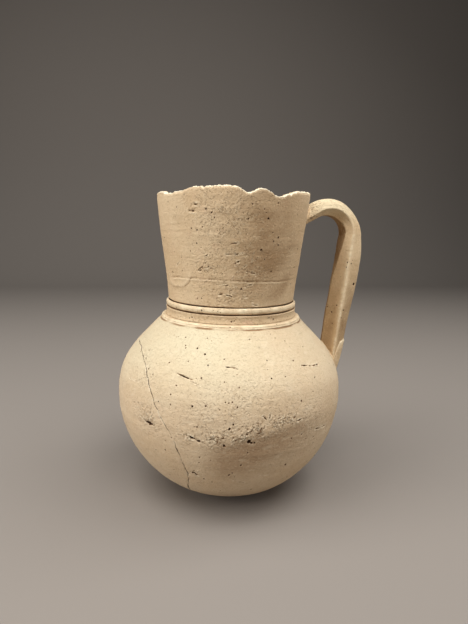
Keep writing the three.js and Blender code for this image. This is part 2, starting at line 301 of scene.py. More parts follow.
# Cuts: azimuth and height of both ends, half width and depth
BODY_CUTS = np.array([
    (-129.2, 79.0, -125.9, 78.2, 0.18, 0.5), (-126.0, 78.25, -120.8, 77.2, 0.28, 1.0),
    (-121.0, 77.2, -118.0, 76.85, 0.18, 0.45), (-119.8, 76.35, -114.7, 75.0, 0.20, 0.45),
    (-121.6, 52.1, -118.4, 51.5, 0.22, 0.45), (-118.6, 51.6, -113.7, 49.4, 0.40, 1.3),
    (-113.9, 49.4, -110.0, 47.8, 0.24, 0.35), (-103.5, 82.7, -98.5, 82.5, 0.24, 0.55),
    (-98.7, 82.6, -97.4, 81.9, 0.20, 0.4), (-61.5, 81.1, -53.9, 79.7, 0.22, 0.6),
    (-54.2, 79.6, -47.8, 79.3, 0.28, 0.7), (-57.4, 49.5, -48.2, 48.4, 0.30, 0.5),
    (-86.9, 62.2, -85.2, 60.4, 0.26, 0.6), (-83.4, 62.9, -83.7, 60.6, 0.24, 0.6),
    (-80.2, 60.1, -77.9, 60.6, 0.22, 0.4), (-70.8, 57.3, -67.6, 57.7, 0.30, 0.6),
    (-74.0, 57.9, -72.6, 58.2, 0.22, 0.5), (-96.2, 25.7, -92.6, 25.0, 0.26, 0.5),
    (-100.2, 27.4, -95.2, 26.5, 0.18, 0.3), (-85.0, 28.9, -80.3, 29.2, 0.18, 0.35),
    (-120.4, 30.6, -118.6, 30.1, 0.34, 0.8), (-118.6, 30.4, -116.4, 28.8, 0.46, 1.1),
    (-116.4, 31.2, -115.4, 31.4, 0.26, 0.6), (-145.6, 55.2, -142.2, 53.7, 0.24, 0.4),
    (-159.3, 70.0, -150.0, 70.6, 0.18, 0.25), (-147.5, 78.5, -146.2, 77.4, 0.2, 0.3),
    (-110.8, 50.1, -106.8, 51.6, 0.22, 0.3), (-147.8, 61.2, -146.4, 59.8, 0.2, 0.4),
    (-145.2, 61.6, -144.2, 60.2, 0.2, 0.4),
])
NECK_CUTS = np.array([
    (-133.2, 153.4, -128.0, 153.0, 0.50, 0.45), (-128.3, 156.1, -125.6, 156.1, 0.40, 0.4),
    (-102.6, 138.2, -100.6, 138.4, 0.26, 0.5), (-100.4, 138.6, -97.4, 138.8, 0.24, 0.5),
    (-106.3, 133.3, -100.2, 133.4, 0.20, 0.4), (-100.4, 133.3, -93.3, 133.9, 0.24, 0.5),
    (-99.4, 129.0, -98.2, 129.4, 0.32, 0.9), (-97.4, 129.8, -96.4, 129.9, 0.36, 1.0),
    (-121.4, 132.2, -119.8, 132.8, 0.24, 0.6), (-129.3, 124.6, -123.8, 127.4, 0.24, 0.5),
    (-127.4, 124.6, -124.6, 125.6, 0.22, 0.4), (-122.2, 126.4, -115.8, 126.3, 0.2, 0.4),
    (-110.9, 113.8, -105.4, 113.6, 0.22, 0.45), (-105.6, 113.5, -100.6, 112.8, 0.26, 0.6),
    (-90.7, 125.4, -87.6, 125.0, 0.22, 0.3), (-87.0, 124.6, -83.4, 124.2, 0.22, 0.3),
    (-83.4, 108.9, -79.6, 108.3, 0.26, 0.5), (-88.6, 118.4, -85.4, 118.8, 0.24, 0.45),
    (-151.3, 126.2, -146.0, 128.9, 0.18, 0.3), (-92.5, 127.4, -90.8, 128.2, 0.22, 0.45),
    (-112.0, 118.6, -104.0, 118.2, 0.18, 0.3),
])

# Pits: azimuth, height, radius and depth
BODY_PITS = np.array([
    (-88.9, 93.3, 0.3, 0.6), (-63.6, 91.6, 0.34, 0.7), (-128.9, 89.5, 0.34, 0.7),
    (-120.8, 89.0, 0.38, 0.8), (-115.4, 87.1, 0.46, 1.0), (-123.5, 83.7, 0.36, 0.7),
    (-104.5, 85.6, 0.32, 0.6), (-65.1, 83.5, 0.42, 0.8), (-81.3, 77.9, 0.44, 0.9),
    (-73.6, 77.9, 0.32, 0.6), (-55.7, 74.8, 0.40, 0.7), (-114.6, 78.0, 0.46, 1.0),
    (-126.2, 73.7, 0.40, 0.8), (-128.1, 69.5, 0.42, 0.8), (-145.8, 77.6, 0.4, 0.7),
    (-141.4, 75.8, 0.42, 0.8), (-97.0, 74.9, 0.36, 0.7), (-103.7, 77.0, 0.34, 0.6),
    (-117.2, 65.8, 0.52, 1.1), (-111.3, 66.6, 0.44, 0.5), (-102.9, 68.7, 0.36, 0.7),
    (-101.5, 68.4, 0.40, 0.7), (-100.0, 68.8, 0.34, 0.6), (-105.4, 65.3, 0.36, 0.7),
    (-67.5, 66.5, 0.54, 1.0), (-59.4, 69.2, 0.36, 0.6), (-26.0, 69.0, 0.5, 0.8), (-116.4, 93.3, 0.3, 0.6),
    (-131.6, 92.6, 0.3, 0.6), (-128.1, 88.6, 0.3, 0.5), (-134.2, 82.0, 0.34, 0.6),
    (-153.9, 84.3, 0.36, 0.7), (-146.6, 93.0, 0.3, 0.5), (-141.7, 92.7, 0.3, 0.5),
    (-97.8, 66.6, 0.34, 0.6), (-114.8, 56.4, 0.38, 0.7), (-64.6, 57.8, 0.34, 0.6),
    (-57.9, 55.4, 0.46, 0.8), (-46.4, 54.6, 0.42, 0.7), (-66.2, 49.4, 0.46, 0.8),
    (-57.5, 45.3, 0.46, 0.8), (-62.8, 45.9, 0.38, 0.7), (-72.2, 48.8, 0.4, 0.6), (-72.0, 33.6, 0.5, 0.8),
    (-64.6, 22.2, 0.6, 0.9), (-95.3, 37.1, 0.48, 0.8), (-100.6, 30.8, 0.5, 0.8), (-113.5, 26.5, 0.5, 0.9),
    (-86.8, 17.8, 0.5, 0.8), (-109.1, 39.7, 0.38, 0.6), (-114.6, 37.7, 0.36, 0.6),
    (-114.1, 40.8, 0.34, 0.5), (-92.8, 44.0, 0.38, 0.6), (-118.0, 31.9, 0.4, 0.7),
    (-100.9, 56.6, 0.6, 1.2), (-92.5, 50.1, 0.95, 1.2), (-91.4, 49.3, 0.6, 0.9), (-90.1, 49.4, 0.48, 0.8),
    (-103.1, 48.1, 0.7, 0.8), (-99.4, 58.6, 0.38, 0.7), (-130.4, 46.7, 0.36, 0.6),
    (-137.5, 39.0, 0.42, 0.7), (-127.0, 49.0, 0.36, 0.6), (-141.4, 53.25, 0.5, 1.0),
    (-140.2, 53.1, 0.8, 1.8), (-139.0, 52.95, 0.85, 2.0), (-137.8, 52.95, 0.55, 1.2),
    (-150.8, 60.2, 0.36, 0.6),
])
NECK_PITS = np.array([
    (-76.6, 150.3, 0.54, 1.1), (-91.1, 150.0, 0.42, 0.9), (-80.1, 135.7, 0.54, 1.1),
    (-66.6, 141.7, 0.46, 0.9), (-93.7, 116.6, 0.5, 1.0), (-119.8, 154.1, 0.42, 0.8),
    (-115.8, 152.5, 0.38, 0.7), (-113.9, 150.2, 0.32, 0.6), (-144.0, 154.8, 0.36, 0.7),
    (-131.6, 145.0, 0.38, 0.7), (-134.0, 134.2, 0.32, 0.6), (-158.6, 122.6, 0.46, 0.9),
    (-49.0, 153.0, 0.38, 0.7), (-39.4, 126.3, 0.5, 0.8), (-153.5, 157.4, 0.36, 0.5),
    (-88.6, 156.7, 0.36, 0.5), (-80.3, 154.7, 0.34, 0.6), (-78.7, 153.1, 0.34, 0.6),
    (-71.9, 144.0, 0.32, 0.5), (-76.6, 131.2, 0.34, 0.6), (-52.6, 136.0, 0.36, 0.5),
    (-75.8, 113.8, 0.32, 0.5), (-130.2, 110.9, 0.34, 0.6), (-144.2, 124.0, 0.34, 0.6),
    (-69.9, 157.6, 0.34, 0.5), (-145.9, 150.5, 0.3, 0.5), (-122.8, 145.8, 0.34, 0.5),
    (-110.3, 139.0, 0.34, 0.6),
])

# Patches: azimuth, height, half width in degrees, half height and weight
BODY_ROUGH = [
    (-117.0, 50.0, 6, 4.0, 0.8), (-140.0, 55.0, 6, 5.0, 0.8), (-107.0, 60.0, 10, 6.0, 0.4),
    (-96.0, 70.0, 16, 9.0, 0.25), (-58.0, 52.0, 10, 6.0, 0.4), (-150.0, 76.0, 9, 8.0, 0.3),
    (60, 58, 20, 5, 0.7), (128, 54, 16, 5, 0.6),
]
NECK_ROUGH = [
    (-106, 152, 20, 11, 0.7), (-104, 132, 20, 14, 0.34), (-102, 114, 20, 6, 0.5), (-122, 125, 8, 6, 0.45),
    (-82, 126, 12, 10, 0.45), (40, 130, 24, 16, 0.7), (140, 142, 20, 14, 0.6),
]

# Brown smudges, of the same form
BODY_SMUDGES = [
    (-97.3, 72.4, 2.6, 2.2, 0.55), (-134.2, 76.4, 3.0, 2.0, 0.35), (-143.5, 58.5, 6, 4.5, 0.45),
    (-112, 54, 7, 4, 0.2), (-118, 30, 2.2, 1.5, 0.6), (30, 48, 14, 9, 0.45), (120, 66, 12, 8, 0.35),
]
NECK_SMUDGES = [
    (-130.6, 153.2, 3.2, 0.8, 0.8), (-127.0, 156.1, 2.0, 0.7, 0.7), (-80, 148, 26, 24, 0.56),
    (-70, 126, 30, 18, 0.54), (-100, 113, 18, 5, 0.3), (-45, 116, 26, 22, 0.28), (-55, 148, 24, 30, 0.22),
    (60, 140, 20, 16, 0.4), (150, 122, 16, 8, 0.3),
]

# Pink blush on the collar, of the same form
COLLAR_BLUSH = [(-87.7, 100.2, 5, 1.1, 1.0)]

# Lower edge of the scraped scar on the belly, and how much darker the clay below it is drawn: a brown stain
# and painted shade under the edge
SCAR = np.array([
    (-125, 45.6, 0.0), (-116, 46.6, 0.12), (-111.8, 47.2, 0.45), (-104, 47.9, 0.9), (-97.3, 50.2, 1.0),
    (-90.1, 51.8, 1.0), (-80.7, 54.6, 0.9), (-70.7, 56.4, 0.8), (-58.2, 57.2, 0.55), (-45, 57.4, 0.3),
    (-25, 57, 0.0),
])

# Thin ledge that a rib left round the neck: azimuth and height
LEDGE = np.array([
    (-166, 119.3), (-150, 120.7), (-132, 121.0), (-118.5, 120.9), (-106.5, 120.7), (-95, 120.5),
    (-78, 120.2), (-60, 119.9), (-42, 119.8),
])

# Short strokes: count, range of azimuth, range of level, seed, range of length, tilt and range of depth
NICK_HALF_WIDTHS = (0.16, 0.28)
SCAR_NICKS = [
    (150, (-111, -86), (-0.5, 8), 12, (0.6, 1.6), 0.6, (0.12, 0.32)),
    (60, (-88, -58), (-2, 5), 13, (0.6, 1.8), 0.5, (0.10, 0.25)),
]
BODY_NICKS = [
    (36, (-150, -136), (52, 62), 14, (0.6, 1.8), 0.7, (0.10, 0.28)),
    (50, (-122, -60), (56, 80), 15, (0.5, 1.2), 0.5, (0.06, 0.16)),
    (60, (20, 120), (52, 62), 16, (0.7, 2.2), 0.5, (0.10, 0.3)),
]
NECK_NICKS = [
    (70, (-120, -84), (108.5, 119), 17, (0.8, 2.4), 0.2, (0.12, 0.34)),
    (36, (-128, -80), (121.5, 134), 18, (0.6, 1.8), 0.4, (0.10, 0.26)),
    (110, (-122, -80), (138, 162), 19, (0.4, 0.9), 0.8, (0.06, 0.18)),
    (50, (20, 160), (110, 160), 20, (0.7, 2.4), 0.4, (0.10, 0.3)),
]


def patches(points, table):
    """Sum of weighted bells of azimuth and height over a table of patches, at most 1."""
    azimuth = np.degrees(bearing(points))
    total = 0
    for at, z, half_width, half_height, weight in table:
        away = (azimuth - at + 180) % 360 - 180
        total = total + weight * bell(away, half_width) * bell(points[..., 2] - z, half_height)
    return np.clip(total, 0, 1)


def near(points, centre, reach):
    """Indices of the grid points within a reach of a centre."""
    return np.nonzero((np.abs(points - centre) < reach).all(-1))


def pitted(points, centres, sizes, ragged=0.5, power=1.5, lip=0.10):
    """Depth of round pits, depth (1 - (d/R)^2)^power within R less a low lip outside, and the distance from
    the nearest rim, negative inside. Sizes are rows of radius and depth. Noise makes the outlines ragged."""
    depth = np.zeros(points.shape[:-1])
    edge = np.full(points.shape[:-1], NO_RIM)
    stretch = 1 + ragged * noise(points, 0.9, 71)
    for centre, (radius, deep) in zip(centres, sizes):
        spot = near(points, centre, radius * 2.5 + 1.2)
        d = np.linalg.norm(points[spot] - centre, axis=-1) * stretch[spot]
        bowl_depth = deep * np.clip(1 - (d / radius) ** 2, 0, 1) ** power
        raised = lip * deep * bell(d / radius - 1.25, 0.3)
        depth[spot] = np.maximum(depth[spot], bowl_depth) - raised
        edge[spot] = np.minimum(edge[spot], d - radius)
    return depth, edge


def scattered(count, azimuth, levels, seed, sizes):
    """Seeded pits over a range of azimuth and of levels: most are small, and few are large."""
    random = np.random.default_rng(seed)
    at = random.uniform(*azimuth, count)
    z = random.uniform(*levels, count)
    radius = sizes[0] + (sizes[1] - sizes[0]) * random.random(count) ** 3
    return np.stack([at, z, radius, radius * random.uniform(1.0, 2.0, count)], 1)


def nicks(table, above=None):
    """Seeded short strokes as rows of a table of cuts. Their levels are heights, or heights above a level
    that is a function of azimuth."""
    strokes = []
    for count, azimuth, levels, seed, lengths, tilt, deep in table:
        random = np.random.default_rng(seed)
        at = random.uniform(*azimuth, count)
        z = levels[0] + (levels[1] - levels[0]) * random.random(count)
        if above is not None:
            z = z + above(at)
        half = random.uniform(*lengths, count) / 2
        lean = random.normal(0, tilt, count)
        da = np.degrees(half * np.cos(lean) / wall_radius(z))
        dz = half * np.sin(lean)
        half_width = random.uniform(*NICK_HALF_WIDTHS, count)
        depth = random.uniform(*deep, count)
        strokes.append(np.stack([at - da, z - dz, at + da, z + dz, half_width, depth], 1))
    return np.concatenate(strokes)


def cut(points, cuts):
    """Depth of straight cuts, depth exp(-(d/w)^2) about a segment less raised lips beside it, and the
    distance from the nearest edge, negative inside: a shallow cut has a thinner dark line."""
    depth = np.zeros(points.shape[:-1])
    edge = np.full(points.shape[:-1], NO_RIM)
    wobble = noise(points, 1.6, 83) * 1.1
    ragged = np.clip(1 + 0.9 * noise(points, 1.5, 84), 0.2, 1.6)
    for row in cuts:
        a, b = on_wall(row[:4].reshape(2, 2))
        half_width, deep = row[4:]
        length = np.linalg.norm(b - a)
        spot = near(points, (a + b) / 2, length / 2 + 4 * half_width + 1)
        away = points[spot] - a
        t = np.clip(away @ (b - a) / length ** 2, 0, 1)
        far = np.linalg.norm(away - t[..., None] * (b - a), axis=-1) + wobble[spot] * half_width
        d = far / half_width
        fade = smooth(-0.02, 0.15, t) * smooth(1.02, 0.85, t) * 0.6 + 0.4
        hollow = deep * fade * ragged[spot] * bell(d, 1)
        lips = 0.34 * deep * fade * bell(d - 1.9, 0.7)
        depth[spot] = np.maximum(depth[spot], hollow) - lips
        drawn = half_width * np.clip(deep / 0.75, 0, 1) * fade * np.clip(ragged[spot], 0.7, 1.2)
        edge[spot] = np.minimum(edge[spot], far - drawn)
    return depth, edge


def line_distance(points, line, jitter):
    """Signed distance from a line of points: positive on its right, and held within NO_CRACK."""
    best = np.full(points.shape[:-1], NO_CRACK)
    signed = np.full(points.shape[:-1], NO_CRACK)
    shaken = points + jitter * np.stack([noise(points, 3.1, s) for s in (91, 92, 93)], -1)
    shaken = shaken + 0.45 * jitter * np.stack([noise(points, 1.1, s) for s in (94, 95, 96)], -1)
    for a, b in zip(line[:-1], line[1:]):
        length = np.linalg.norm(b - a)
        spot = near(points, (a + b) / 2, length / 2 + 5)
        away = shaken[spot] - a
        t = np.clip(away @ (b - a) / length ** 2, 0, 1)
        offset = away - t[..., None] * (b - a)
        d = np.linalg.norm(offset, axis=-1)
        outward = points[spot] * (1, 1, 0.3)
        side = np.sign((np.cross(b - a, outward) * offset).sum(-1))
        closer = d < best[spot]
        best[spot] = np.where(closer, d, best[spot])
        signed[spot] = np.where(closer, d * np.where(side == 0, 1, side), signed[spot])
    return np.clip(signed, -NO_CRACK, NO_CRACK)


def scar_level(azimuth):
    """Level of the scar's lower edge."""
    return np.interp(azimuth, SCAR[:, 0], SCAR[:, 1])


SEEN = (-195, -15)
BACK = (-15, 165)
BODY_LEVELS = (12, 96)
NECK_LEVELS = (109, 163)
body_pits = np.concatenate([BODY_PITS, scattered(110, BACK, BODY_LEVELS, 5, (0.3, 0.6)),
                            scattered(60, SEEN, BODY_LEVELS, 6, (0.22, 0.32))])
neck_pits = np.concatenate([NECK_PITS, scattered(60, BACK, NECK_LEVELS, 7, (0.3, 0.55)),
                            scattered(40, SEEN, NECK_LEVELS, 8, (0.2, 0.3))])
body_nicks = np.concatenate([nicks(SCAR_NICKS, scar_level), nicks(BODY_NICKS)])
neck_nicks = nicks(NECK_NICKS)


# Marks that every corner carries for the clays: hollow is soil in low places and painted shade in grooves,
# pits and under ledges, rough is scraped clay, stain is brown above 0 and pink below, partly a stain and
# partly painted shade, worn is rubbed pale and painted highlights, fresh is broken clay and bloom is chalk
# and a painted highlight on tops. Crack and edge are distances in millimetres, from the crack and from the
# nearest rim of a pit or a cut.

def bare(points, **given):
    """Marks of a surface that has none, apart from those given."""
    values = {"hollow": 0.0, "rough": 0.0, "stain": 0.0, "crack": NO_CRACK, "worn": 0.0, "fresh": 0.0,
              "bloom": 0.0, "edge": NO_RIM}
    values.update(given)
    return {name: np.zeros(points.shape[:-1]) + value for name, value in values.items()}


def body_wear(points):
    """Height of the body's worn surface above its turned form, in millimetres, and the marks on it."""
    azimuth, z = np.degrees(bearing(points)), points[..., 2]
    below = scar_level(azimuth) + 1.3 * noise(points, 7, 20) - z
    dark = np.interp(azimuth, SCAR[:, 0], SCAR[:, 2], left=0, right=0)
    scraped = smooth(-116, -106, azimuth) * smooth(-60, -84, azimuth) * bell(below + 3.0, 4.2)
    rough = np.maximum(patches(points, BODY_ROUGH) * smooth(-0.5, 0.25, noise(points, 6, 21)),
                       scraped * smooth(-0.7, 0.1, noise(points, 5, 22)))
    rough = 0.12 + 0.88 * rough
    # Darker below the scar's edge, less so further down: partly a brown stain, partly painted shade under the
    # edge
    stain = 0.70 * dark * smooth(-4.5, 3.0, below) * (1 - 0.72 * smooth(9, 30, below))
    stain = np.maximum(stain, patches(points, BODY_SMUDGES) * smooth(-0.6, 0.4, noise(points, 2.6, 27)))
    bites = 0.7 * smooth(0.16, 0.34, noise(points, 0.9, 24))
    bites += 0.8 * smooth(0.16, 0.32, noise(points, 0.7, 25))
    flecks = smooth(0.12, 0.28, noise(points, 0.8, 26))
    scuffs = smooth(0.32, 0.62, noise(points * (0.6, 0.6, 1), 3.2, 23))
    pits, rims = pitted(points, on_wall(body_pits[:, :2]), body_pits[:, 2:])
    cuts, edges = cut(points, BODY_CUTS)
    nicked = cut(points, body_nicks)[0]
    crack = line_distance(points, CRACK, 0.55)
    faint = smooth(47.5, 50, z) * smooth(61, 57, z)
    crack = np.where(crack < 0, -1, 1) * np.maximum(np.abs(crack), 0.25 * faint)
    height = layered(points, (0.40, 36, 11), (0.14, 14, 12), (0.05, 6, 13), (0.03, 1.6, 16))
    height += layered(points * TURNING, (0.10, 3.4, 14), (0.05, 1.5, 15))
    height += dark * 0.18 * bell(below + 3, 3.5)
    height -= dark * 0.35 * smooth(-2, 5, below) * smooth(28, 8, below)
    height += rough ** 1.5 * (0.16 * noise(points, 2.3, 17) + 0.24 * flecks - 0.50 * bites - 0.05)
    height -= 0.10 * scuffs * (0.5 + noise(points, 1.3, 19))
    height -= np.clip(0.32 * (1 - np.abs(crack) / 0.45), 0, 1)
    height += 0.09 * np.tanh(crack / 0.4) * np.exp(-np.abs(crack) / 1.6)
    height -= pits + cuts + nicked
    # Dark in the scar's bites and in nicks: soil, and painted shade of the small relief
    hollow = 0.48 * rough ** 1.5 * bites + np.clip(1.8 * nicked, 0, 0.5)
    seam = smooth(COLLAR_FOOT_Z - 1.05, COLLAR_FOOT_Z - 0.65, z)
    hollow = np.maximum(hollow, seam * (0.25 + 0.35 * smooth(-0.4, 0.2, noise(points * (1, 1, 0), 10, 28))))
    # Pale on scuffs, on the raised lips of cuts and on flecks in the scar: rubbed clay, and painted
    # highlights on the small relief
    rubbed_and_highlit = scuffs * 0.35 + np.clip(-(cuts + nicked) / 0.06, 0, 1) + 1.3 * rough * flecks
    # Chalky bloom and a painted highlight: paler towards the top of the shoulder, and more towards the left
    bloom = smooth(56, 90, z) * (0.25 + 0.38 * smooth(-62, -112, azimuth))
    marks = bare(points, hollow=np.clip(hollow, 0, 1), rough=rough, stain=stain, crack=crack,
                 worn=np.clip(rubbed_and_highlit, 0, 1), bloom=bloom, edge=np.minimum(rims, edges))
    return height, marks


def neck_wear(points):
    """Height of the neck's worn surface above its turned form, in millimetres, and the marks on it."""
    azimuth, z = np.degrees(bearing(points)), points[..., 2]
    rough = 0.12 + 0.88 * patches(points, NECK_ROUGH) * smooth(-0.6, 0.2, noise(points, 5, 31))
    stain = patches(points, NECK_SMUDGES) * (0.6 + 0.4 * smooth(-0.5, 0.5, noise(points, 10, 43)))
    bites = smooth(0.18, 0.34, noise(points, 0.75, 45))
    flecks = smooth(0.14, 0.32, noise(points, 0.8, 46))
    pits, rims = pitted(points, on_wall(neck_pits[:, :2]), neck_pits[:, 2:])
    cuts, edges = cut(points, NECK_CUTS)
    nicked = cut(points, neck_nicks)[0]
    scratches = np.abs(noise(points * (0.16, 0.16, 1), 1.5, 32))
    scratched = smooth(150, 118, z) * (0.3 + 0.7 * rough)
    shown = smooth(LEDGE[0, 0], LEDGE[0, 0] + 8, azimuth) * smooth(LEDGE[-1, 0], LEDGE[-1, 0] - 10, azimuth)
    under = z - np.interp(azimuth, LEDGE[:, 0], LEDGE[:, 1]) - 0.3 * noise(points * (1, 1, 0), 6, 33)
    ledge = shown * (0.55 + 0.45 * smooth(-0.3, 0.2, noise(points * (1, 1, 0), 7, 34)))
    loop = line_distance(points, LOOP, 0.3)
    raised = smooth(0.22, -0.22, loop) * bell(loop, 2.2)
    height = layered(points, (0.35, 30, 36), (0.12, 12, 37), (0.04, 5, 38), (0.03, 1.5, 41))
    height += layered(points * TURNING, (0.12, 4.2, 39), (0.06, 1.6, 40))
    height += rough * (0.04 * noise(points, 2.0, 42) + 0.07 * flecks - 0.12 * bites)
    height -= 0.25 * scratched * smooth(0.05, 0.0, scratches)
    height -= 0.32 * ledge * bell(under, 0.30)
    height += 0.14 * ledge * bell(under + 0.75, 0.4)
    height += 0.26 * raised - pits - cuts - nicked
    # Painted shadow line under the ledge and along the loop's lower edge; soil and painted shade in bites and
    # nicks
    hollow = 0.3 * rough * bites + 0.50 * ledge * bell(under, 0.24)
    hollow += np.clip(0.9 * nicked, 0, 0.25) + 0.42 * bell(loop - 0.15, 0.2)
    # Painted highlight on the raised loop and on the lip above the ledge; pale also on cut lips and flecks
    pale = 0.3 * raised + np.clip(-(cuts + nicked) / 0.06, 0, 1) + 0.5 * rough * flecks
    pale += 0.6 * ledge * bell(under + 0.75, 0.35)
    marks = bare(points, hollow=np.clip(hollow, 0, 1), rough=rough, stain=stain, worn=np.clip(pale, 0, 1),
                 edge=np.minimum(rims, edges))
    return height, marks


def stacked(*parts):
    """Several grids of points and marks, one above the other, as one."""
    points = np.concatenate([p for p, _ in parts])
    return points, {name: np.concatenate([m[name] for _, m in parts]) for name in parts[0][1]}


# Meshes

def skin(name, points, marks, node, material, first_pole=None, last_pole=None, closed=False):
    """Piece from a grid of points whose columns close round: rows of quads, and a fan at each pole given.
    A closed grid joins its last row to its first. Faces look to the right of rising rows."""
    rows, columns = points.shape[:2]
    index = np.arange(rows * columns).reshape(rows, columns)
    if closed:
        index = np.concatenate([index, index[:1]])
    right = np.roll(index, -1, axis=1)
    faces = np.stack([index[:-1], right[:-1], right[1:], index[1:]], -1).reshape(-1, 4).tolist()
    places = points.reshape(-1, 3)
    values = {key: value.ravel() for key, value in marks.items()}
    for pole, ring, order in ((first_pole, 0, (2, 1, 0)), (last_pole, -1, (0, 1, 2))):
        if pole is not None:
            centre = np.full(columns, len(places))
            places = np.concatenate([places, [pole]])
            values = {key: np.append(value, value[index[ring, 0]]) for key, value in values.items()}
            fan = np.stack([index[ring], right[ring], centre], -1)
            faces += fan[:, order].tolist()
    mesh = bpy.data.meshes.new(name)
    mesh.from_pydata(places * MM, [], faces)
    for key, value in values.items():
        mesh.attributes.new(key, "FLOAT", "POINT").data.foreach_set("value", value.astype(np.float32))
    mesh.shade_smooth()
    mesh.set_sharp_from_angle(angle=CREASE)
    mesh.materials.append(material)
    piece = bpy.data.objects.new(name, mesh)
    bpy.context.scene.collection.objects.link(piece)
    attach(piece, "root")
    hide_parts(node)


def surface_normals(points):
    """Unit normals of a grid whose columns close round: the cross product of its two directions."""
    across = np.roll(points, -1, axis=1) - np.roll(points, 1, axis=1)
    up = np.gradient(points, axis=0)
    normal = np.cross(across, up)
    return normal / np.maximum(np.linalg.norm(normal, axis=-1), 1e-9)[..., None]


def rings_inside(points, seed):
    """Height of finger rings on an inner wall, height sin(2 pi z / pitch + wobble), and some noise."""
    wobble = 2.5 * noise(points, 30, seed)
    rings = RING_HEIGHT * np.sin(2 * np.pi * points[..., 2] / RING_PITCH + wobble)
    return rings + layered(points, (0.2, 8, seed + 1), (0.08, 2.5, seed + 2))


def worn_body(outline, angles, share=1.0):
    """A turned outline of the body, raised and sunk by a share of its wear: points and marks."""
    points = turned(outline, angles)
    height, marks = body_wear(points)
    return points + (height * share)[..., None] * turned_normals(outline, angles), marks


def inner_wall(outline, angles):
    """A turned inner outline, which runs downwards, with its finger rings: points and marks."""
    points = turned(outline, angles)
    ease = smooth(0, 4, np.minimum(np.arange(len(outline)), np.arange(len(outline))[::-1]))[:, None]
    height = rings_inside(points, BODY_RING_SEED) * ease
    return points + height[..., None] * turned_normals(outline, angles), bare(points, rough=0.2)


def joint_face(outer, inner, sag):
    """Luted faces between an outer and an inner ring of points: three rows that sag in the middle."""
    t = np.array([0.25, 0.5, 0.75])[:, None, None]
    points = outer * (1 - t) + inner * t
    points[..., 2] += sag
    return points, bare(points)


def lower_body(material):
    """Bowl: base disc, arc of the belly with its wear, luted edge and inner arc, turned about Z."""
    angles = azimuths(BODY_COLUMNS)
    start = BASE_RADIUS - BASE_ROUNDING
    outside = bowl[bowl[:, 1] > BASE_ROUNDING * 0.5]
    foot = bezier((start, 0), (start + BASE_ROUNDING * 0.6, 0), outside[0] - (0.4, 0.7), outside[0])
    base = np.stack([np.linspace(3, start, 8), np.zeros(8)], 1)
    low = outside[outside[:, 1] <= BOWL_PITCH_FROM_Z]
    high = outside[outside[:, 1] >= low[-1, 1]]
    outline = np.concatenate([base[:-1], evenly(foot, 0.8 * BASE_PITCH)[:-1], evenly(low, BASE_PITCH)[:-1],
                              evenly(high, BOWL_PITCH)])
    points, marks = worn_body(outline, angles, smooth(0.2, 4, outline[:, 1:]))
    inner, inner_marks = inner_wall(evenly(bowl_inside[::-1], INSIDE_PITCH), angles)
    joint = joint_face(points[-1], inner[0], -JOINT_HOLLOW)
    grid, marks = stacked((points, marks), joint, (inner, inner_marks))
    skin("thrown_bowl", grid, marks, "lower_body", material,
         first_pole=(0, 0, 0), last_pole=(0, 0, BASE_THICKNESS))


def upper_body(material):
    """Shoulder dome with its wear, flat seat under the neck, mouth and inner wall, turned about Z."""
    angles = azimuths(BODY_COLUMNS)
    outline = evenly(shoulder, SHOULDER_PITCH)
    points, marks = worn_body(outline, angles)
    mouth_z = COLLAR_FOOT_Z - MOUTH_THICKNESS
    seat = turned(np.array([(SEAT_RADIUS, COLLAR_FOOT_Z), (BORE_RADIUS + 1, COLLAR_FOOT_Z),
                            (BORE_RADIUS, COLLAR_FOOT_Z - 1), (BORE_RADIUS, mouth_z + 1)]), angles)
    inside = shoulder - BODY_WALL * sideways(shoulder)
    inside = np.concatenate([inside[inside[:, 1] < DOME_INSIDE_Z], [(BORE_RADIUS + 1, mouth_z)]])
    inner, inner_marks = inner_wall(evenly(inside[::-1], INSIDE_PITCH), angles)
    joint = joint_face(inner[-1], points[0], JOINT_HOLLOW)
    grid, marks = stacked((points, marks), (seat, bare(seat)), (inner, inner_marks), joint)
    skin("thrown_shoulder", grid, marks, "upper_body", material, closed=True)


def collar_outline():
    """Collar from its foot upwards: two beads r + h sin(pi t), hollow band, incised line, round bead."""
    foot, wide, slim = COLLAR_FOOT_Z, COLLAR_RADIUS, NECK_FOOT_RADIUS
    t = np.linspace(0, 1, 40)
    swell = np.sin(np.pi * t)
    turn = np.pi * (t - 0.5)
    rows = [
        [(wide - 0.9, foot - 0.9), (wide - 0.2, foot - 0.55)],
        np.stack([wide + 0.05 + 0.30 * swell - 0.15 * t, foot - 0.45 + 0.85 * t], 1),
        np.stack([wide - 0.20 + 0.25 * swell - 0.95 * t ** 2, BEADS_SPLIT_Z + 0.95 * t], 1),
        [(slim + 0.95, BAND_FOOT_Z - 0.15)],
        np.stack([slim + 1.45 - 0.35 * swell + 0.15 * (1 - t),
                  BAND_FOOT_Z + (BAND_TOP_Z - BAND_FOOT_Z) * t], 1),
        [(slim + 0.30, BAND_TOP_Z + 0.25), (slim + 0.25, BAND_TOP_Z + 0.50)],
        np.stack([slim + 0.35 + 1.05 * np.cos(turn),
                  (BEAD_FOOT_Z + BEAD_TOP_Z) / 2 + (BEAD_TOP_Z - BEAD_FOOT_Z) / 2 * np.sin(turn)], 1),
        [(STUB_RADIUS + 0.5, BEAD_TOP_Z)],
    ]
    return evenly(np.concatenate(rows), COLLAR_PITCH)


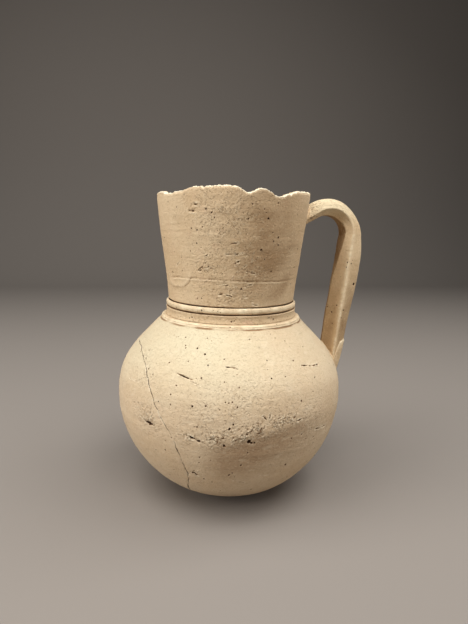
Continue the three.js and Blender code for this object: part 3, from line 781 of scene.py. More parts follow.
def neck_collar(material):
    """Collar: its outline turned about Z, with pits, soil and painted shade in its grooves, and rubbed edges
    with a painted highlight.
    """
    angles = azimuths(NECK_COLUMNS)
    outline = collar_outline()
    points = turned(outline, angles)
    lifted = 0.10 * noise(points * (1, 1, 0.4), 9, 61) + 0.06 * noise(points * (0.5, 0.5, 1), 2.4, 62)
    lifted += 0.04 * noise(points, 1.1, 63)
    levels = (COLLAR_FOOT_Z + 0.2, BEAD_TOP_Z - 0.2)
    azimuth, level, *sizes = scattered(110, (-180, 180), levels, 9, (0.2, 0.45)).T
    centres = polar(np.interp(level, outline[:, 1], outline[:, 0]), np.radians(azimuth), level)
    depth, rims = pitted(points, centres, np.stack(sizes, 1), ragged=0, power=1, lip=0)
    z = points[..., 2]
    # Dark in the collar's grooves and where the neck meets it: soil, and painted shade
    grooves = 1.4 * bell(z - BAND_TOP_Z - 0.37, 0.26)
    grooves += 0.4 * bell(z - BEADS_SPLIT_Z, 0.1)
    grooves += 0.5 * bell(z - BAND_FOOT_Z, 0.2)
    grooves += 1.2 * smooth(NECK_FOOT_RADIUS + 0.5, NECK_FOOT_RADIUS, from_axis(points))
    # Paler round bead, lower beads and the edge under the band: rubbed, and a painted highlight on their
    # upper edges
    pale = 0.95 * smooth(BEAD_FOOT_Z + 0.2, BEAD_FOOT_Z + 0.8, z)
    pale += bell(z - BAND_TOP_Z + 0.15, 0.25) + smooth(BAND_FOOT_Z, BAND_FOOT_Z - 0.4, z)
    clog = smooth(-0.5, 0.3, noise(points * (1, 1, 0), 12, 64))
    marks = bare(points, hollow=np.clip(grooves * (0.55 + 0.45 * clog), 0, 1), rough=0.3, edge=rims,
                 stain=-patches(points, COLLAR_BLUSH),
                 worn=np.clip(pale * (0.8 + 0.5 * noise(points, 4, 60)), 0, 1))
    grid = points + (lifted - depth)[..., None] * turned_normals(outline, angles)
    bore = STUB_RADIUS + 0.3
    inside = turned(np.array([(bore, BEAD_TOP_Z - 0.3), (bore, COLLAR_FOOT_Z + 0.4),
                              (COLLAR_RADIUS - 2, COLLAR_FOOT_Z + 0.1)]), angles)
    grid, marks = stacked((grid, marks), (inside, bare(inside)))
    skin("turned_collar", grid, marks, "neck_collar", material, closed=True)


def break_level(angles):
    """Level of the broken edge: the points of BREAK joined by straight lines, less a fine jaggedness."""
    level = np.interp(np.degrees(angles) % 360, BREAK[:, 0] % 360, BREAK[:, 1], period=360)
    ring = polar(RIM_RADIUS, angles, 0)
    fine = 0.36 * np.abs(noise(ring, 4, 65)) + 0.40 * np.abs(noise(ring, 1.9, 66))
    fine += 0.30 * np.abs(noise(ring, 0.9, 67))
    return np.minimum(level + 0.12 - fine, RIM_Z)


def neck_inside(edge, angles):
    """Inner wall of the neck from the broken edge down to its foot: the outer radius less a wall that thins
    towards the rim, with finger rings."""
    w = np.linspace(0, 1, 36)[:, None]
    z = edge - 0.9 + (COLLAR_FOOT_Z + 0.4 - edge + 0.9) * w
    share = np.clip((z - COLLAR_TOP_Z) / (RIM_Z - COLLAR_TOP_Z), 0, 1)
    wall = NECK_FOOT_WALL + (RIM_WALL - NECK_FOOT_WALL) * share
    points = polar(np.interp(z, neck_side[:, 1], neck_side[:, 0]) - wall, angles, z)
    rings = rings_inside(points, NECK_RING_SEED) * smooth(0, 0.06, w) * smooth(1, 0.9, w)
    return points + (0.6 * rings)[..., None] * polar(-1, angles, 0)


def neck(material):
    """Flaring tube whose rows run from the collar to the broken edge, over the break and down the inside."""
    angles = azimuths(NECK_COLUMNS)
    edge = break_level(angles)
    ring = polar(RIM_RADIUS, angles, 0)
    bevel = BEVEL * (1 + 0.5 * noise(ring, 4, 68)) * (0.65 + 0.35 * smooth(-0.9, 0.1, noise(ring, 11, 69)))
    foot = BEAD_TOP_Z - 0.25
    close_below, close_above = 0.025, 0.965
    v = np.concatenate([np.linspace(0, close_below, 7)[:-1], np.linspace(close_below, close_above, 124)[:-1],
                        np.linspace(close_above, 1, 9)])[:, None]
    z = foot + (edge - bevel - foot) * v
    undercut = 0.75 * smooth(BEAD_TOP_Z + 0.75, BEAD_TOP_Z + 0.15, z)
    r = np.interp(z, neck_side[:, 1], neck_side[:, 0]) - undercut
    points = polar(r, angles, z)
    height, marks = neck_wear(points)
    chipped = smooth(0.0, 0.9, (edge - bevel) - z + 0.4 * noise(points, 1.4, 70))
    height = height * chipped - 0.30 * (1 - chipped)
    marks["worn"] = np.maximum(marks["worn"], 0.8 * (1 - chipped))
    # Painted shade in the undercut at the neck's foot, just above the collar's bead
    marks["hollow"] = np.maximum(marks["hollow"], smooth(BEAD_TOP_Z + 0.65, BEAD_TOP_Z + 0.2, z))
    normal = turned_normals(np.stack([r.mean(1), z.mean(1)], 1), angles)
    outside = points + height[..., None] * normal
    t = np.array([0.06, 0.14, 0.25, 0.4, 0.55, 0.7, 0.82, 0.92])[:, None]
    face_z = edge - bevel + bevel * smooth(0, 0.3, t) - 0.5 * smooth(0.6, 1.0, t)
    face = polar(from_axis(outside[-1]) - t * RIM_WALL, angles, face_z)
    face[..., 2] += layered(face, (0.45, 1.6, 72), (0.25, 0.8, 73)) * np.sin(np.pi * t) - 0.15
    fresh = 1 - 0.75 * smooth(0.25, 0.5, t) * smooth(-0.7, 0.1, noise(face, 2.2, 74))
    inner = neck_inside(edge, angles)
    stub = turned(np.array([(STUB_RADIUS, COLLAR_FOOT_Z + 0.4), (STUB_RADIUS, BEAD_TOP_Z - 0.5)]), angles)
    grid, marks = stacked((outside, marks), (face, bare(face, fresh=fresh, rough=0.5)),
                          (inner, bare(inner, rough=0.2)), (stub, bare(stub)))
    skin("thrown_neck", grid, marks, "neck", material, closed=True)


# Handle

def handle_frame():
    """Function of length along the handle's middle line: its point and outward direction in the plane of
    radius and height; and the lengths at the crown, at the springing and at the end."""
    arch_z = RIM_Z - ARCH_DROP
    centre = np.array([wall_radius(arch_z) + ROOT_RUN + ARCH_RADIUS, arch_z])
    root = np.array([wall_radius(RIM_Z - ROOT_DROP), RIM_Z - ROOT_DROP])
    foot = np.array([wall_radius(BELLY_Z + FOOT_RISE), BELLY_Z + FOOT_RISE])

    def tangent_angle(point, side):
        """Angle where the tangent from a point touches the arch: bearing + side arccos(R / distance)."""
        away = point - centre
        return np.arctan2(away[1], away[0]) + side * np.arccos(ARCH_RADIUS / np.hypot(*away))

    def on_arch(angle):
        """Point of the arch, centre + R (cos a, sin a)."""
        return centre + ARCH_RADIUS * np.stack([np.cos(angle), np.sin(angle)], -1)

    first, last = tangent_angle(root, -1), tangent_angle(foot, 1)
    heading_in = (on_arch(first) - root) / np.linalg.norm(on_arch(first) - root)
    heading_out = (foot - on_arch(last)) / np.linalg.norm(foot - on_arch(last))
    run_in = np.linalg.norm(on_arch(first) - root) + LIMB_INNER + ARCH_OUTER
    arch = ARCH_RADIUS * (first - last)
    run_out = np.linalg.norm(foot - on_arch(last)) + FOOT_TAPER

    def place(s):
        """Straight to the arch, round it, and straight on from it."""
        angle = first - (np.clip(s, run_in, run_in + arch) - run_in) / ARCH_RADIUS
        before = np.minimum(s - run_in, 0)[:, None] * heading_in
        after = np.maximum(s - run_in - arch, 0)[:, None] * heading_out
        return on_arch(angle) + before + after, np.stack([np.cos(angle), np.sin(angle)], -1)

    return place, run_in + arch / 2, run_in + arch, run_in + arch + run_out


handle_place, crown, springing, handle_length = handle_frame()


# Section of the limb, whose side lengths place the columns round every section of the handle
LIMB_SECTION = np.array([(7.5, 0), (6, 4.6), (4.2, 7.9), (2.2, 9.6), (0, 10), (-2.2, 9.6), (-4.2, 7.9),
                         (-6, 4.6), (-7.5, 0), (0, -4), (4.2, -4)])
SECTION_LENGTHS = np.linalg.norm(np.roll(LIMB_SECTION, -1, axis=0) - LIMB_SECTION, axis=1)
GIRTH = SECTION_LENGTHS.sum()
FRONT_RIDGE = SECTION_LENGTHS[:8].sum() / GIRTH
INNER_ARRIS = SECTION_LENGTHS[:9].sum() / GIRTH
ARRIS_ROUNDING = 0.55

# Pits on the limb: height, place round the section and radius
LIMB_PITS = [(115.4, 0.435, 0.85), (128.0, 0.62, 0.45), (103.0, 0.66, 0.4), (98.5, 0.71, 0.45),
             (96.0, 0.55, 0.4), (101.0, 0.78, 0.4), (92.0, 0.68, 0.35)]

# Upper edge of the clay smeared over the foot of the limb: place round the section and height
FOOT_EDGE = np.array([(0.05, 70), (0.16, 77), (0.30, 83.5), (0.40, 83.6), (0.49, 81.8), (0.53, 78),
                      (0.57, 72)])


def section_weights(around):
    """Weights of a section's corners at points evenly round it: straight lines between the corners, then a
    bell exp(-(d / ARRIS_ROUNDING)^2 / 2) along the outline that rounds them."""
    count = len(LIMB_SECTION)
    along = np.concatenate([[0], np.cumsum(SECTION_LENGTHS)])
    wanted = np.arange(around) / around * along[-1]
    corner = np.interp(wanted, along, np.arange(count + 1))
    first = np.floor(corner).astype(int)
    straight = np.zeros((around, count))
    np.add.at(straight, (np.arange(around), first % count), 1 - (corner - first))
    np.add.at(straight, (np.arange(around), (first + 1) % count), corner - first)
    apart = np.abs(wanted[:, None] - wanted)
    apart = np.minimum(apart, along[-1] - apart)
    rounded = np.exp(-0.5 * (apart / ARRIS_ROUNDING) ** 2)
    return rounded / rounded.sum(1)[:, None] @ straight


def handle_grid(stations, around):
    """Handle before its wear: a section carried along the middle line, stations by points around. The section
    is a closed polygon with a round crest, two ridges and a flat towards the pot, which runs out."""
    s = np.linspace(0, handle_length, stations)
    place, outward = handle_place(s)
    swollen = ARCH_OUTER + (LIMB_OUTER - ARCH_OUTER) * smooth(crown, springing + LIMB_SWELL, s)
    limb = swollen + (FOOT_OUTER - swollen) * smooth(springing + LIMB_SWELL, handle_length - FOOT_TAPER, s)
    taper = np.clip((s - handle_length + 2 * FOOT_TAPER) / (2 * FOOT_TAPER), 0, 1)
    outer = FOOT_TIP_OUTER + (limb - FOOT_TIP_OUTER) * np.sqrt(1 - taper ** 2)
    inner = ROOT_INNER + (LIMB_INNER - ROOT_INNER) * smooth(0, crown, s)
    half = HALF_WIDTH + FOOT_SPREAD * taper
    turn_in = -CROWN_FLAT + (CROWN_FLAT - ARCH_FLAT) * smooth(crown, springing - 4, s)
    flat_front = turn_in + (ARCH_FLAT + INNER_FLAT - FLAT_END) * smooth(springing, springing + FLAT_RUNOUT, s)
    wide = np.array([1, 0.80, 0.56, 0.29, 0, -0.29, -0.56, -0.80, -1, 0, 1]) * np.ones((stations, 1))
    wide[:, 9:] = np.stack([flat_front, INNER_FLAT + 0 * s], 1) / half[:, None]
    tall = np.array([0, 0.46, 0.79, 0.96, 1, 0.96, 0.79, 0.46, 0, -1, -1]) * np.ones((stations, 1))
    depth = np.where(tall > 0, outer[:, None], inner[:, None])
    control = np.stack([wide * half[:, None], tall * depth], -1)
    section = np.einsum("uk,skc->suc", section_weights(around), control)
    across, out = section[..., 0], section[..., 1]
    rho = place[:, :1] + outward[:, :1] * out
    z = place[:, 1:] + outward[:, 1:] * out
    return np.stack([rho, across, z], -1), s[:, None] + 0 * across, np.arange(around) / around + 0 * across


def outside_wall(points):
    """Distance of points from the pot's wall, positive outside it, measured from the axis."""
    return from_axis(points) - wall_radius(points[..., 2])


def limb_pits(points, around, on_limb):
    """Depth of pits on the limb, 1.4 R (1 - (d/R)^2), and the distance from the nearest rim: those of
    LIMB_PITS and small seeded ones, measured along the surface."""
    count = 60
    random = np.random.default_rng(17)
    level = random.uniform(70, 160, count)
    place = random.random(count)
    small = np.stack([level, place, 0.14 + 0.22 * random.random(count) ** 3], 1)
    depth = np.zeros(around.shape)
    rims = np.full(around.shape, NO_RIM)
    for z, u, r in np.concatenate([small, LIMB_PITS]):
        d = np.hypot(points[..., 2] - z, ((around - u + 0.5) % 1 - 0.5) * GIRTH) + 4 * (1 - on_limb)
        depth = np.maximum(depth, 1.4 * r * np.clip(1 - (d / r) ** 2, 0, 1))
        rims = np.minimum(rims, d - r)
    return depth, rims


def handle_surface():
    """The handle's grid with strokes along it, abraded ridges and pits: points and marks."""
    points, along, around = handle_grid(HANDLE_ROWS, HANDLE_COLUMNS)
    to_ridge = np.minimum(np.minimum(around, 1 - around), np.abs(around - FRONT_RIDGE)) * GIRTH
    ridge = bell(to_ridge, 0.55)
    brow = bell(to_ridge, 2.0)
    lane = polar(3, around * 2 * np.pi, along * 0.05)
    strokes = layered(lane, (0.12, 0.55, 81), (0.05, 0.25, 82))
    lumps = layered(points, (0.30, 16, 83), (0.12, 6, 84), (0.05, 1.8, 85))
    on_limb = smooth(crown, springing, along)
    pits, rims = limb_pits(points, around, on_limb)
    at_root = smooth(24, 10, along)
    rough = 0.15 + 0.8 * at_root * smooth(-0.4, 0.3, noise(points, 4, 88))
    scuffed = smooth(-0.15, 0.25, noise(points, 4, 86))
    flecks = smooth(0.05, 0.3, noise(points, 1.3, 89)) * bell(to_ridge, 1.1)
    flecks = flecks * (0.3 + 0.7 * scuffed)
    bites = smooth(0.14, 0.34, noise(points, 1.3, 90))
    arris = bell((around - INNER_ARRIS) * GIRTH, 0.7) * smooth(springing + 8, springing - 8, along)
    chipped = arris * smooth(0.05, 0.25, noise(points, 1.5, 92))
    height = strokes + lumps + 0.10 * flecks - 0.3 * rough * bites - 0.3 * chipped - pits
    points = points + height[..., None] * surface_normals(points)
    z = points[..., 2]
    # Painted highlight along the outer edge of the lower limb, beside the ridges' rubbed pale
    crest = bell(around - 0.34, 0.05) * smooth(100, 125, z)
    pale = np.clip(brow * (0.55 + 0.30 * scuffed) + 1.3 * flecks + 0.5 * crest, 0, 1) * on_limb
    pale += 0.3 * ridge * (1 - on_limb)
    # Painted shade on the flat that faces the pot, under the arch and along the limb
    inside = smooth(FRONT_RIDGE + 0.17, FRONT_RIDGE + 0.20, around) * smooth(0.995, 0.97, around)
    inside = inside * (0.25 + 0.75 * smooth(12, 30, along))
    rosy = at_root * smooth(-0.1, 0.4, noise(points, 6, 91))
    # Painted shade: the limb darker towards its foot, and on its outer faces up to the front ridge, less on
    # the ridges
    painted_limb_shade = 0.42 * smooth(132, 92, z) * on_limb * (0.75 + 0.5 * noise(points, 7, 93)) * (1 - 0.7 * brow)
    in_front = smooth(FRONT_RIDGE - 0.02, FRONT_RIDGE - 0.07, around)
    painted_limb_shade += 0.26 * in_front * smooth(140, 118, z) * on_limb
    marks = bare(points, hollow=np.clip(0.6 * rough * bites + 0.7 * chipped, 0, 1), rough=rough, worn=pale,
                 # The handle's top is paler: chalky bloom and a painted highlight
                 stain=np.maximum(0.74 * inside, painted_limb_shade) - 0.5 * rosy, bloom=0.5 * smooth(146, 158, z),
                 edge=rims)
    return points, marks


def handle(surface, material):
    """Pulled strip: the handle's surface, with its ends sunk in the wall of the pot."""
    points, marks = surface
    sunk = np.minimum(outside_wall(points) + HANDLE_SINK, 0)
    points = points - sunk[..., None] * polar(1, bearing(points), 0)
    skin("pulled_handle", points, marks, "handle", material,
         first_pole=points[0].mean(0), last_pole=points[-1].mean(0))


def contact(points, from_end):
    """Where each line along the handle leaves the wall, counted from its root or from its foot: the lines,
    the fractional row of each meeting and its point."""
    lines = points[::-1] if from_end else points
    gap = outside_wall(lines)
    k = np.argmax(gap > 0, axis=0)
    column = np.arange(lines.shape[1])
    t = gap[k - 1, column] / (gap[k - 1, column] - gap[k, column])
    met = lines[k - 1, column] + (lines[k, column] - lines[k - 1, column]) * t[:, None]
    return lines, k - 1 + t, met


def along_lines(lines, rows):
    """Points at fractional rows of a grid, one row for each column."""
    first = np.clip(np.floor(rows).astype(int), 0, len(lines) - 2)
    column = np.arange(lines.shape[1])
    share = (rows - first)[..., None]
    return lines[first, column] * (1 - share) + lines[first + 1, column] * share


def luting(name, node, surface, from_end, spread, tail, climb, lip, edge, seed, material):
    """Smear of clay round an end of the handle. On the handle it follows each line of the surface up to its
    edge, raised by a lip. From the meeting with the wall it is (1-v)^2 A + 2v(1-v) K + v^2 B to the wall."""
    lines, meeting, met = contact(surface[0], from_end)
    columns = lines.shape[1]
    flat = np.stack([bearing(met) * from_axis(met), met[:, 2]], 1)
    step = np.roll(flat, -1, axis=0) - np.roll(flat, 1, axis=0)
    outward = np.stack([step[:, 1], -step[:, 0]], 1)
    outward /= np.linalg.norm(outward, axis=1)[:, None]
    outward *= np.sign(((flat - flat.mean(0)) * outward).sum())
    ragged = 1 + 0.45 * noise(np.stack([flat[:, 0], flat[:, 1], 0 * flat[:, 0]], 1), 4.5, seed)
    reach = (spread + tail * np.clip(-outward[:, 1], 0, 1) ** 2) * ragged

    def wall_point(distance, lift):
        """Point of the wall at a distance outward from the meeting line, lifted off the wall."""
        far = flat + outward * distance[:, None]
        level = np.clip(far[:, 1], 1, RIM_Z - 1)
        return polar(wall_radius(level) + lift, far[:, 0] / from_axis(met), level)

    rise = climb * ragged
    if edge is not None:
        around = np.arange(columns) / columns
        smeared = np.interp(around, edge[:, 0], edge[:, 1], left=0, right=0) - met[:, 2]
        rise = np.maximum(rise, smeared + 0.8 * (ragged - 1))
    pitch = handle_length / (len(lines) - 1)
    w = np.concatenate([[0, 0.02], np.linspace(0.05, 1, 15)])[:, None]
    rows = meeting + (1 - w) * rise / pitch
    normals = surface_normals(surface[0])
    facing = along_lines(normals[::-1] if from_end else normals, rows)
    lifted = lip * smooth(0.0, 0.035, w) - 0.08 + 0.25 * w ** 4
    on_handle = along_lines(lines, rows) + lifted[..., None] * facing
    start = on_handle[-1]
    low = wall_point(reach, -0.12)
    bend = met + 0.16 * (low - met) + 0.35 * (start - met)
    v = np.linspace(0, 1, 14)[1:, None, None]
    fillet = (1 - v) ** 2 * start + 2 * v * (1 - v) * bend + v ** 2 * low
    shown = np.concatenate([on_handle, fillet])
    shown[2:-1] += 0.10 * noise(shown[2:-1], 2.0, seed + 1)[..., None] * surface_normals(shown)[2:-1]
    hidden = np.stack([wall_point(reach * 0.6, -1.0), wall_point(reach * 0.1, -1.2)])
    grid = np.concatenate([shown, hidden])
    # Painted highlight along the smear's lip, its first rows over the handle
    lip_highlight = np.zeros(grid.shape[:2])
    lip_highlight[:5] = np.array([0.5, 1, 1, 0.7, 0.3])[:, None]
    if (surface_normals(shown) * (shown - grid.mean((0, 1)))).sum() < 0:
        grid = grid[:, ::-1]
    marks = bare(grid, rough=0.35, worn=0.15 + 0.8 * lip_highlight)
    skin(name, grid, marks, node, material, closed=True)


# Materials

class Value:
    """Output of a shader node: arithmetic on it adds the Math node that does the sum."""

    def __init__(self, finish, socket):
        self.finish = finish
        self.socket = socket

    def _math(self, operation, first, second):
        return self.finish.node("ShaderNodeMath", {"operation": operation}, {0: first, 1: second})

    def __add__(self, other):
        return self._math("ADD", self, other)

    def __radd__(self, other):
        return self._math("ADD", other, self)

    def __sub__(self, other):
        return self._math("SUBTRACT", self, other)

    def __rsub__(self, other):
        return self._math("SUBTRACT", other, self)

    def __mul__(self, other):
        return self._math("MULTIPLY", self, other)

    def __rmul__(self, other):
        return self._math("MULTIPLY", other, self)

    def __abs__(self):
        return self._math("ABSOLUTE", self, 0.0)


class Finish:
    """A procedural material and the nodes added to it."""

    def __init__(self, name):
        self.material = bpy.data.materials.new(name)
        self.material.use_nodes = True
        self.tree = self.material.node_tree
        self.tree.nodes.clear()

    def node(self, kind, settings=None, inputs=None, output=0):
        """Adds a node: its settings first, then the values or links of its sockets. Returns an output."""
        made = self.tree.nodes.new(kind)
        for key, value in (settings or {}).items():
            setattr(made, key, value)
        sockets = {s.identifier: s for s in made.inputs}
        sockets.update({s.name: s for s in reversed(made.inputs) if s.enabled})
        sockets.update(enumerate(made.inputs))
        for key, value in (inputs or {}).items():
            if isinstance(value, Value):
                self.tree.links.new(value.socket, sockets[key])
            else:
                sockets[key].default_value = value
        return Value(self, made.outputs[output]) if len(made.outputs) else None

    def mark(self, name):
        """A mark of the piece's corners, spread over its faces."""
        return self.node("ShaderNodeAttribute", {"attribute_name": name}, output="Fac")

    def noise(self, where, scale, detail=3.0, roughness=0.55):
        """Noise from 0 to 1, with the scale in cells per metre."""
        return self.node("ShaderNodeTexNoise", None,
                         {"Vector": where, "Scale": scale, "Detail": detail, "Roughness": roughness}, "Fac")

    def ramp(self, value, low, high):
        """0 below low and 1 above high, smoothly."""
        return self.node("ShaderNodeMapRange", {"interpolation_type": "SMOOTHSTEP"},
                         {"Value": value, "From Min": low, "From Max": high})

    def mix(self, share, first, second):
        """Colour mix: the first where the share is 0, the second where it is 1."""
        return self.node("ShaderNodeMix", {"data_type": "RGBA"},
                         {"Factor_Float": share, "A_Color": first, "B_Color": second}, 2)


def rgb(red, green, blue):
    """Linear colour from sRGB values of 0 to 255."""
    c = np.array([red, green, blue]) / 255
    return (*np.where(c <= 0.04045, c / 12.92, ((c + 0.055) / 1.055) ** 2.4), 1.0)


# Colours that all three clays share: soil and painted shade, painted shade of pits, pores, cuts and the
# crack, chalky bloom with a painted highlight, rubbed edges with painted highlights and the broken rim
SOIL_AND_SHADE = rgb(128, 86, 48)
PAINTED_RECESS_SHADE = rgb(52, 31, 16)
CHALK_AND_HIGHLIGHT = rgb(206, 197, 166)
RUBBED_AND_HIGHLIGHT = rgb(242, 225, 192)
BROKEN = rgb(236, 221, 192)


def fired_clay(name, ground, pale, brown, pink, seed):
    """Matt buff earthenware: clouded ground, pale bloom with a painted highlight, specks, pores, dark hollows
    with painted shade and a hairline crack.
    Each coat is a share and a colour, laid over the coats before it."""
    f = Finish(name)
    where = f.node("ShaderNodeTexCoord", output="Object")
    shift = (seed * 0.37, seed * 0.11, seed * 0.23)
    moved = f.node("ShaderNodeVectorMath", {"operation": "ADD"}, {0: where, 1: shift})
    drawn = f.node("ShaderNodeVectorMath", {"operation": "MULTIPLY"}, {0: moved, 1: (0.12, 0.12, 1.0)})
    hollow, rough, stain = f.mark("hollow"), f.mark("rough"), f.mark("stain")
    crack, rubbed_and_highlit, fresh, bloom = f.mark("crack"), f.mark("worn"), f.mark("fresh"), f.mark("bloom")
    rim = f.mark("edge")
    clouds = f.noise(moved, 38, 3)
    mottle = f.noise(moved, 160, 5, 0.6)
    grains = f.noise(moved, 850, 4, 0.7)
    sand = f.noise(moved, 420, 3, 0.6)
    streaks = f.noise(drawn, 420, 4, 0.6)
    cells = {"Vector": moved, "Scale": 360.0, "Randomness": 1.0}
    specks = f.node("ShaderNodeTexVoronoi", None, cells, "Distance")
    cell_colour = f.node("ShaderNodeTexVoronoi", None, cells, "Color")
    chance = f.node("ShaderNodeSeparateColor", None, {"Color": cell_colour})
    pores = f.ramp(specks, 0.17, 0.10) * f.ramp(chance, 0.945, 0.955)
    chips = f.ramp(f.noise(moved, 1050, 2, 0.5), 0.56, 0.66)
    stipple = f.noise(moved, 1700, 2, 0.5)
    scraped = f.ramp(rough, 0.40, 0.90)
    sunk = f.ramp(rim, 0.0, -0.20)
    hair = f.ramp(abs(crack), 0.34, 0.12) * f.ramp(f.noise(moved, 120, 3), 0.28, 0.56)
    flaked = f.ramp(abs(crack), 0.85, 0.40) * f.ramp(f.noise(moved, 140, 2), 0.44, 0.60)
    coats = [
        (f.ramp(clouds, 0.36, 0.68) * 0.30, pale),
        (f.ramp(mottle, 0.50, 0.78) * 0.30, pink),
        (f.ramp(streaks, 0.55, 0.78) * 0.22, pale),
        (f.ramp(mottle, 0.46, 0.26) * 0.16, brown),
        # Chalky bloom and a painted highlight on tops
        (bloom * (0.7 + clouds * 0.6), CHALK_AND_HIGHLIGHT),
        (f.ramp(stain, 0.0, 1.0) * (0.70 + mottle * 0.6), brown),
        (f.ramp(stain, -0.05, -0.8) * 0.6, pink),
        (f.ramp(grains, 0.53, 0.70) * (0.20 + rough * 0.65), pale),
        (f.ramp(grains, 0.47, 0.30) * (0.14 + rough * 0.65), brown),
        (f.ramp(sand, 0.42, 0.28) * (0.04 + rough * 0.45), brown),
        (chips * rough * 0.55, brown),
        # Dark and pale specks on scraped clay: grain, and painted shade and highlight of its small relief
        (f.ramp(stipple, 0.56, 0.64) * scraped * 0.70, SOIL_AND_SHADE),
        (f.ramp(stipple, 0.44, 0.36) * scraped * 0.60, RUBBED_AND_HIGHLIGHT),
        # Rubbed pale clay, and painted highlights on lips, crests and flecks
        (rubbed_and_highlit * 0.60, pale),
        (f.ramp(rubbed_and_highlit, 0.65, 1.0) * 0.45, RUBBED_AND_HIGHLIGHT),
        (fresh * 0.95, BROKEN),
        # Painted highlight: a pale halo outside the rims of pits and cuts. Painted shade: pores, pits and
        # cuts dark, with soil and painted shade in a ring at their rims
        (f.ramp(rim, 0.50, 0.16) * 0.14, pale),
        (pores * 0.85, PAINTED_RECESS_SHADE),
        (f.ramp(rim, 0.16, -0.06) * 0.75, SOIL_AND_SHADE),
        (sunk * 0.92, PAINTED_RECESS_SHADE),
        # Soil in hollows, and painted shade in grooves, under ledges and in the small relief
        (f.ramp(hollow, 0.10, 0.60) * 0.80, SOIL_AND_SHADE),
        (f.ramp(hollow, 0.55, 1.0) * 0.90, PAINTED_RECESS_SHADE),
        (flaked * 0.6, pale),
        # Painted shade in the hairline crack
        (hair * 0.88, PAINTED_RECESS_SHADE),
    ]
    colour = ground
    for share, tint in coats:
        colour = f.mix(share, colour, tint)
    tooth = grains * 0.6 + sand * 0.5 + streaks * 0.3
    relief = tooth * (0.5 + rough * 1.2) - pores * 0.9 - sunk * 0.8 - chips * (0.06 + rough * 1.2)
    bump = f.node("ShaderNodeBump", None, {"Strength": 0.9, "Distance": 0.0006, "Height": relief})
    shader = f.node("ShaderNodeBsdfPrincipled", None, {
        "Base Color": colour, "Roughness": 0.9, "Specular IOR Level": 0.18, "Normal": bump})
    f.node("ShaderNodeOutputMaterial", None, {"Surface": shader})
    return f.material


def plain(name, colour, roughness):
    """One even colour."""
    f = Finish(name)
    shader = f.node("ShaderNodeBsdfPrincipled", None,
                    {"Base Color": colour, "Roughness": roughness, "Specular IOR Level": 0.2})
    f.node("ShaderNodeOutputMaterial", None, {"Surface": shader})
    return f.material


body_clay = fired_clay("body clay", ground=rgb(211, 184, 149), pale=rgb(226, 209, 180),
                       brown=rgb(152, 122, 91), pink=rgb(206, 174, 145), seed=1)
neck_clay = fired_clay("neck clay", ground=rgb(207, 178, 140), pale=rgb(230, 210, 176),
                       brown=rgb(158, 127, 92), pink=rgb(208, 172, 141), seed=2)
handle_clay = fired_clay("handle clay", ground=rgb(212, 181, 140), pale=rgb(246, 224, 186),
                         brown=rgb(144, 112, 76), pink=rgb(212, 177, 140), seed=3)

lower_body(body_clay)
upper_body(body_clay)
neck_collar(neck_clay)
neck(neck_clay)
strip = handle_surface()
handle(strip, handle_clay)
luting("upper_smear", "handle_upper_luting", strip, from_end=False, spread=2.6, tail=6.5, climb=2.6, lip=0.2,
       edge=None, seed=101, material=handle_clay)
luting("lower_smear", "handle_lower_luting", strip, from_end=True, spread=3.2, tail=1.0, climb=2.4, lip=0.6,
       edge=FOOT_EDGE, seed=111, material=handle_clay)


# Stage

# Paper sweep: its front edge, the start and radius of its bend, its top and its half width
SWEEP_FRONT = -900
SWEEP_BEND_Y = 900
SWEEP_RADIUS = 500
SWEEP_TOP = 2600
SWEEP_HALF_WIDTH = 2500

# Square soft boxes: name, place in metres and power in watts
LAMPS = [
    ("overhead_left", (-0.45, -0.10, 0.90), 5.4),
    ("overhead_front", (0.0, -0.50, 0.90), 5.1),
    ("overhead_right", (0.45, -0.10, 0.90), 5.0),
    ("left_fill", (-0.90, -0.25, 0.35), 5.0),
    ("right_fill", (0.65, -0.65, 0.40), 1.8),
]
LAMP_SIZE = 0.6
LAMP_TARGET = (0, 0, 0.085)
SKY = (0.9, 0.95, 1.0, 1)
SKY_STRENGTH = 0.015


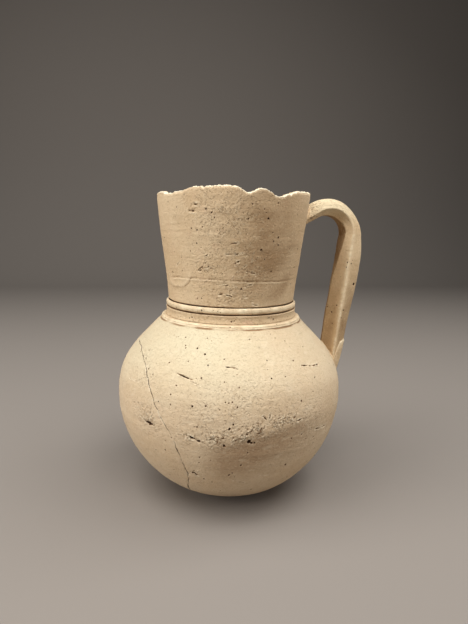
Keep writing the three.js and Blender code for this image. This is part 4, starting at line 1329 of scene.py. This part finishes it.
def studio_sweep():
    """Floor that bends up into a wall far behind: a profile along Y, drawn out along X."""
    bend = np.linspace(-np.pi / 2, 0, 24)
    arc = SWEEP_RADIUS * np.stack([np.cos(bend), 1 + np.sin(bend)], 1) + (SWEEP_BEND_Y, 0)
    profile = np.concatenate([[(SWEEP_FRONT, 0), (0, 0)], arc, [(SWEEP_BEND_Y + SWEEP_RADIUS, SWEEP_TOP)]])
    x = np.linspace(-SWEEP_HALF_WIDTH, SWEEP_HALF_WIDTH, 21)
    points = np.stack(np.broadcast_arrays(x, profile[:, :1], profile[:, 1:]), -1)
    index = np.arange(points[..., 0].size).reshape(points.shape[:2])
    quads = np.stack([index[:-1, :-1], index[:-1, 1:], index[1:, 1:], index[1:, :-1]], -1).reshape(-1, 4)
    mesh = bpy.data.meshes.new("studio sweep")
    mesh.from_pydata(points.reshape(-1, 3) * MM, [], quads.tolist())
    mesh.shade_smooth()
    mesh.materials.append(plain("pale paper", rgb(140, 132, 124), 0.9))
    sweep = bpy.data.objects.new("studio_sweep", mesh)
    bpy.context.scene.collection.objects.link(sweep)


def soft_light(name, place, power):
    """Square soft box that looks at the pot."""
    lamp = bpy.data.lights.new(name, "AREA")
    lamp.shape = "SQUARE"
    lamp.size = LAMP_SIZE
    lamp.energy = power
    light = bpy.data.objects.new(name, lamp)
    light.location = place
    light.rotation_euler = (Vector(LAMP_TARGET) - Vector(place)).to_track_quat("-Z", "Y").to_euler()
    bpy.context.scene.collection.objects.link(light)


studio_sweep()
for lamp_row in LAMPS:
    soft_light(*lamp_row)
world = bpy.data.worlds.new("studio")
world.use_nodes = True
world.node_tree.nodes["Background"].inputs["Color"].default_value = SKY
world.node_tree.nodes["Background"].inputs["Strength"].default_value = SKY_STRENGTH
bpy.context.scene.world = world


# Camera at the photograph's place

EYE = np.array([-52.25, -254.7, 145.5])
HEADING = np.radians(12)
PITCH = np.radians(10.11)
ROLL = np.radians(1.38)
FOCAL_LENGTH = 27.06
SENSOR_HEIGHT = 36


def photo_camera():
    """Pinhole camera: heading from +Y towards +X, pitch down, and a roll about the line of sight."""
    level = np.array([np.sin(HEADING), np.cos(HEADING), 0])
    right = np.array([np.cos(HEADING), -np.sin(HEADING), 0])
    forward = np.cos(PITCH) * level - np.sin(PITCH) * np.array([0, 0, 1])
    up = np.cross(right, forward)
    rolled_right = np.cos(ROLL) * right + np.sin(ROLL) * up
    rolled_up = -np.sin(ROLL) * right + np.cos(ROLL) * up
    lens = bpy.data.cameras.new("camera")
    lens.sensor_fit = "VERTICAL"
    lens.sensor_height = SENSOR_HEIGHT
    lens.lens = FOCAL_LENGTH
    lens.clip_start = 0.01
    camera = bpy.data.objects.new("camera", lens)
    axes = np.stack([rolled_right, rolled_up, -forward], 1)
    camera.matrix_world = Matrix.Translation(EYE * MM) @ Matrix(axes.tolist()).to_4x4()
    bpy.context.scene.collection.objects.link(camera)
    bpy.context.scene.camera = camera


photo_camera()
bpy.context.scene.view_settings.view_transform = "Standard"
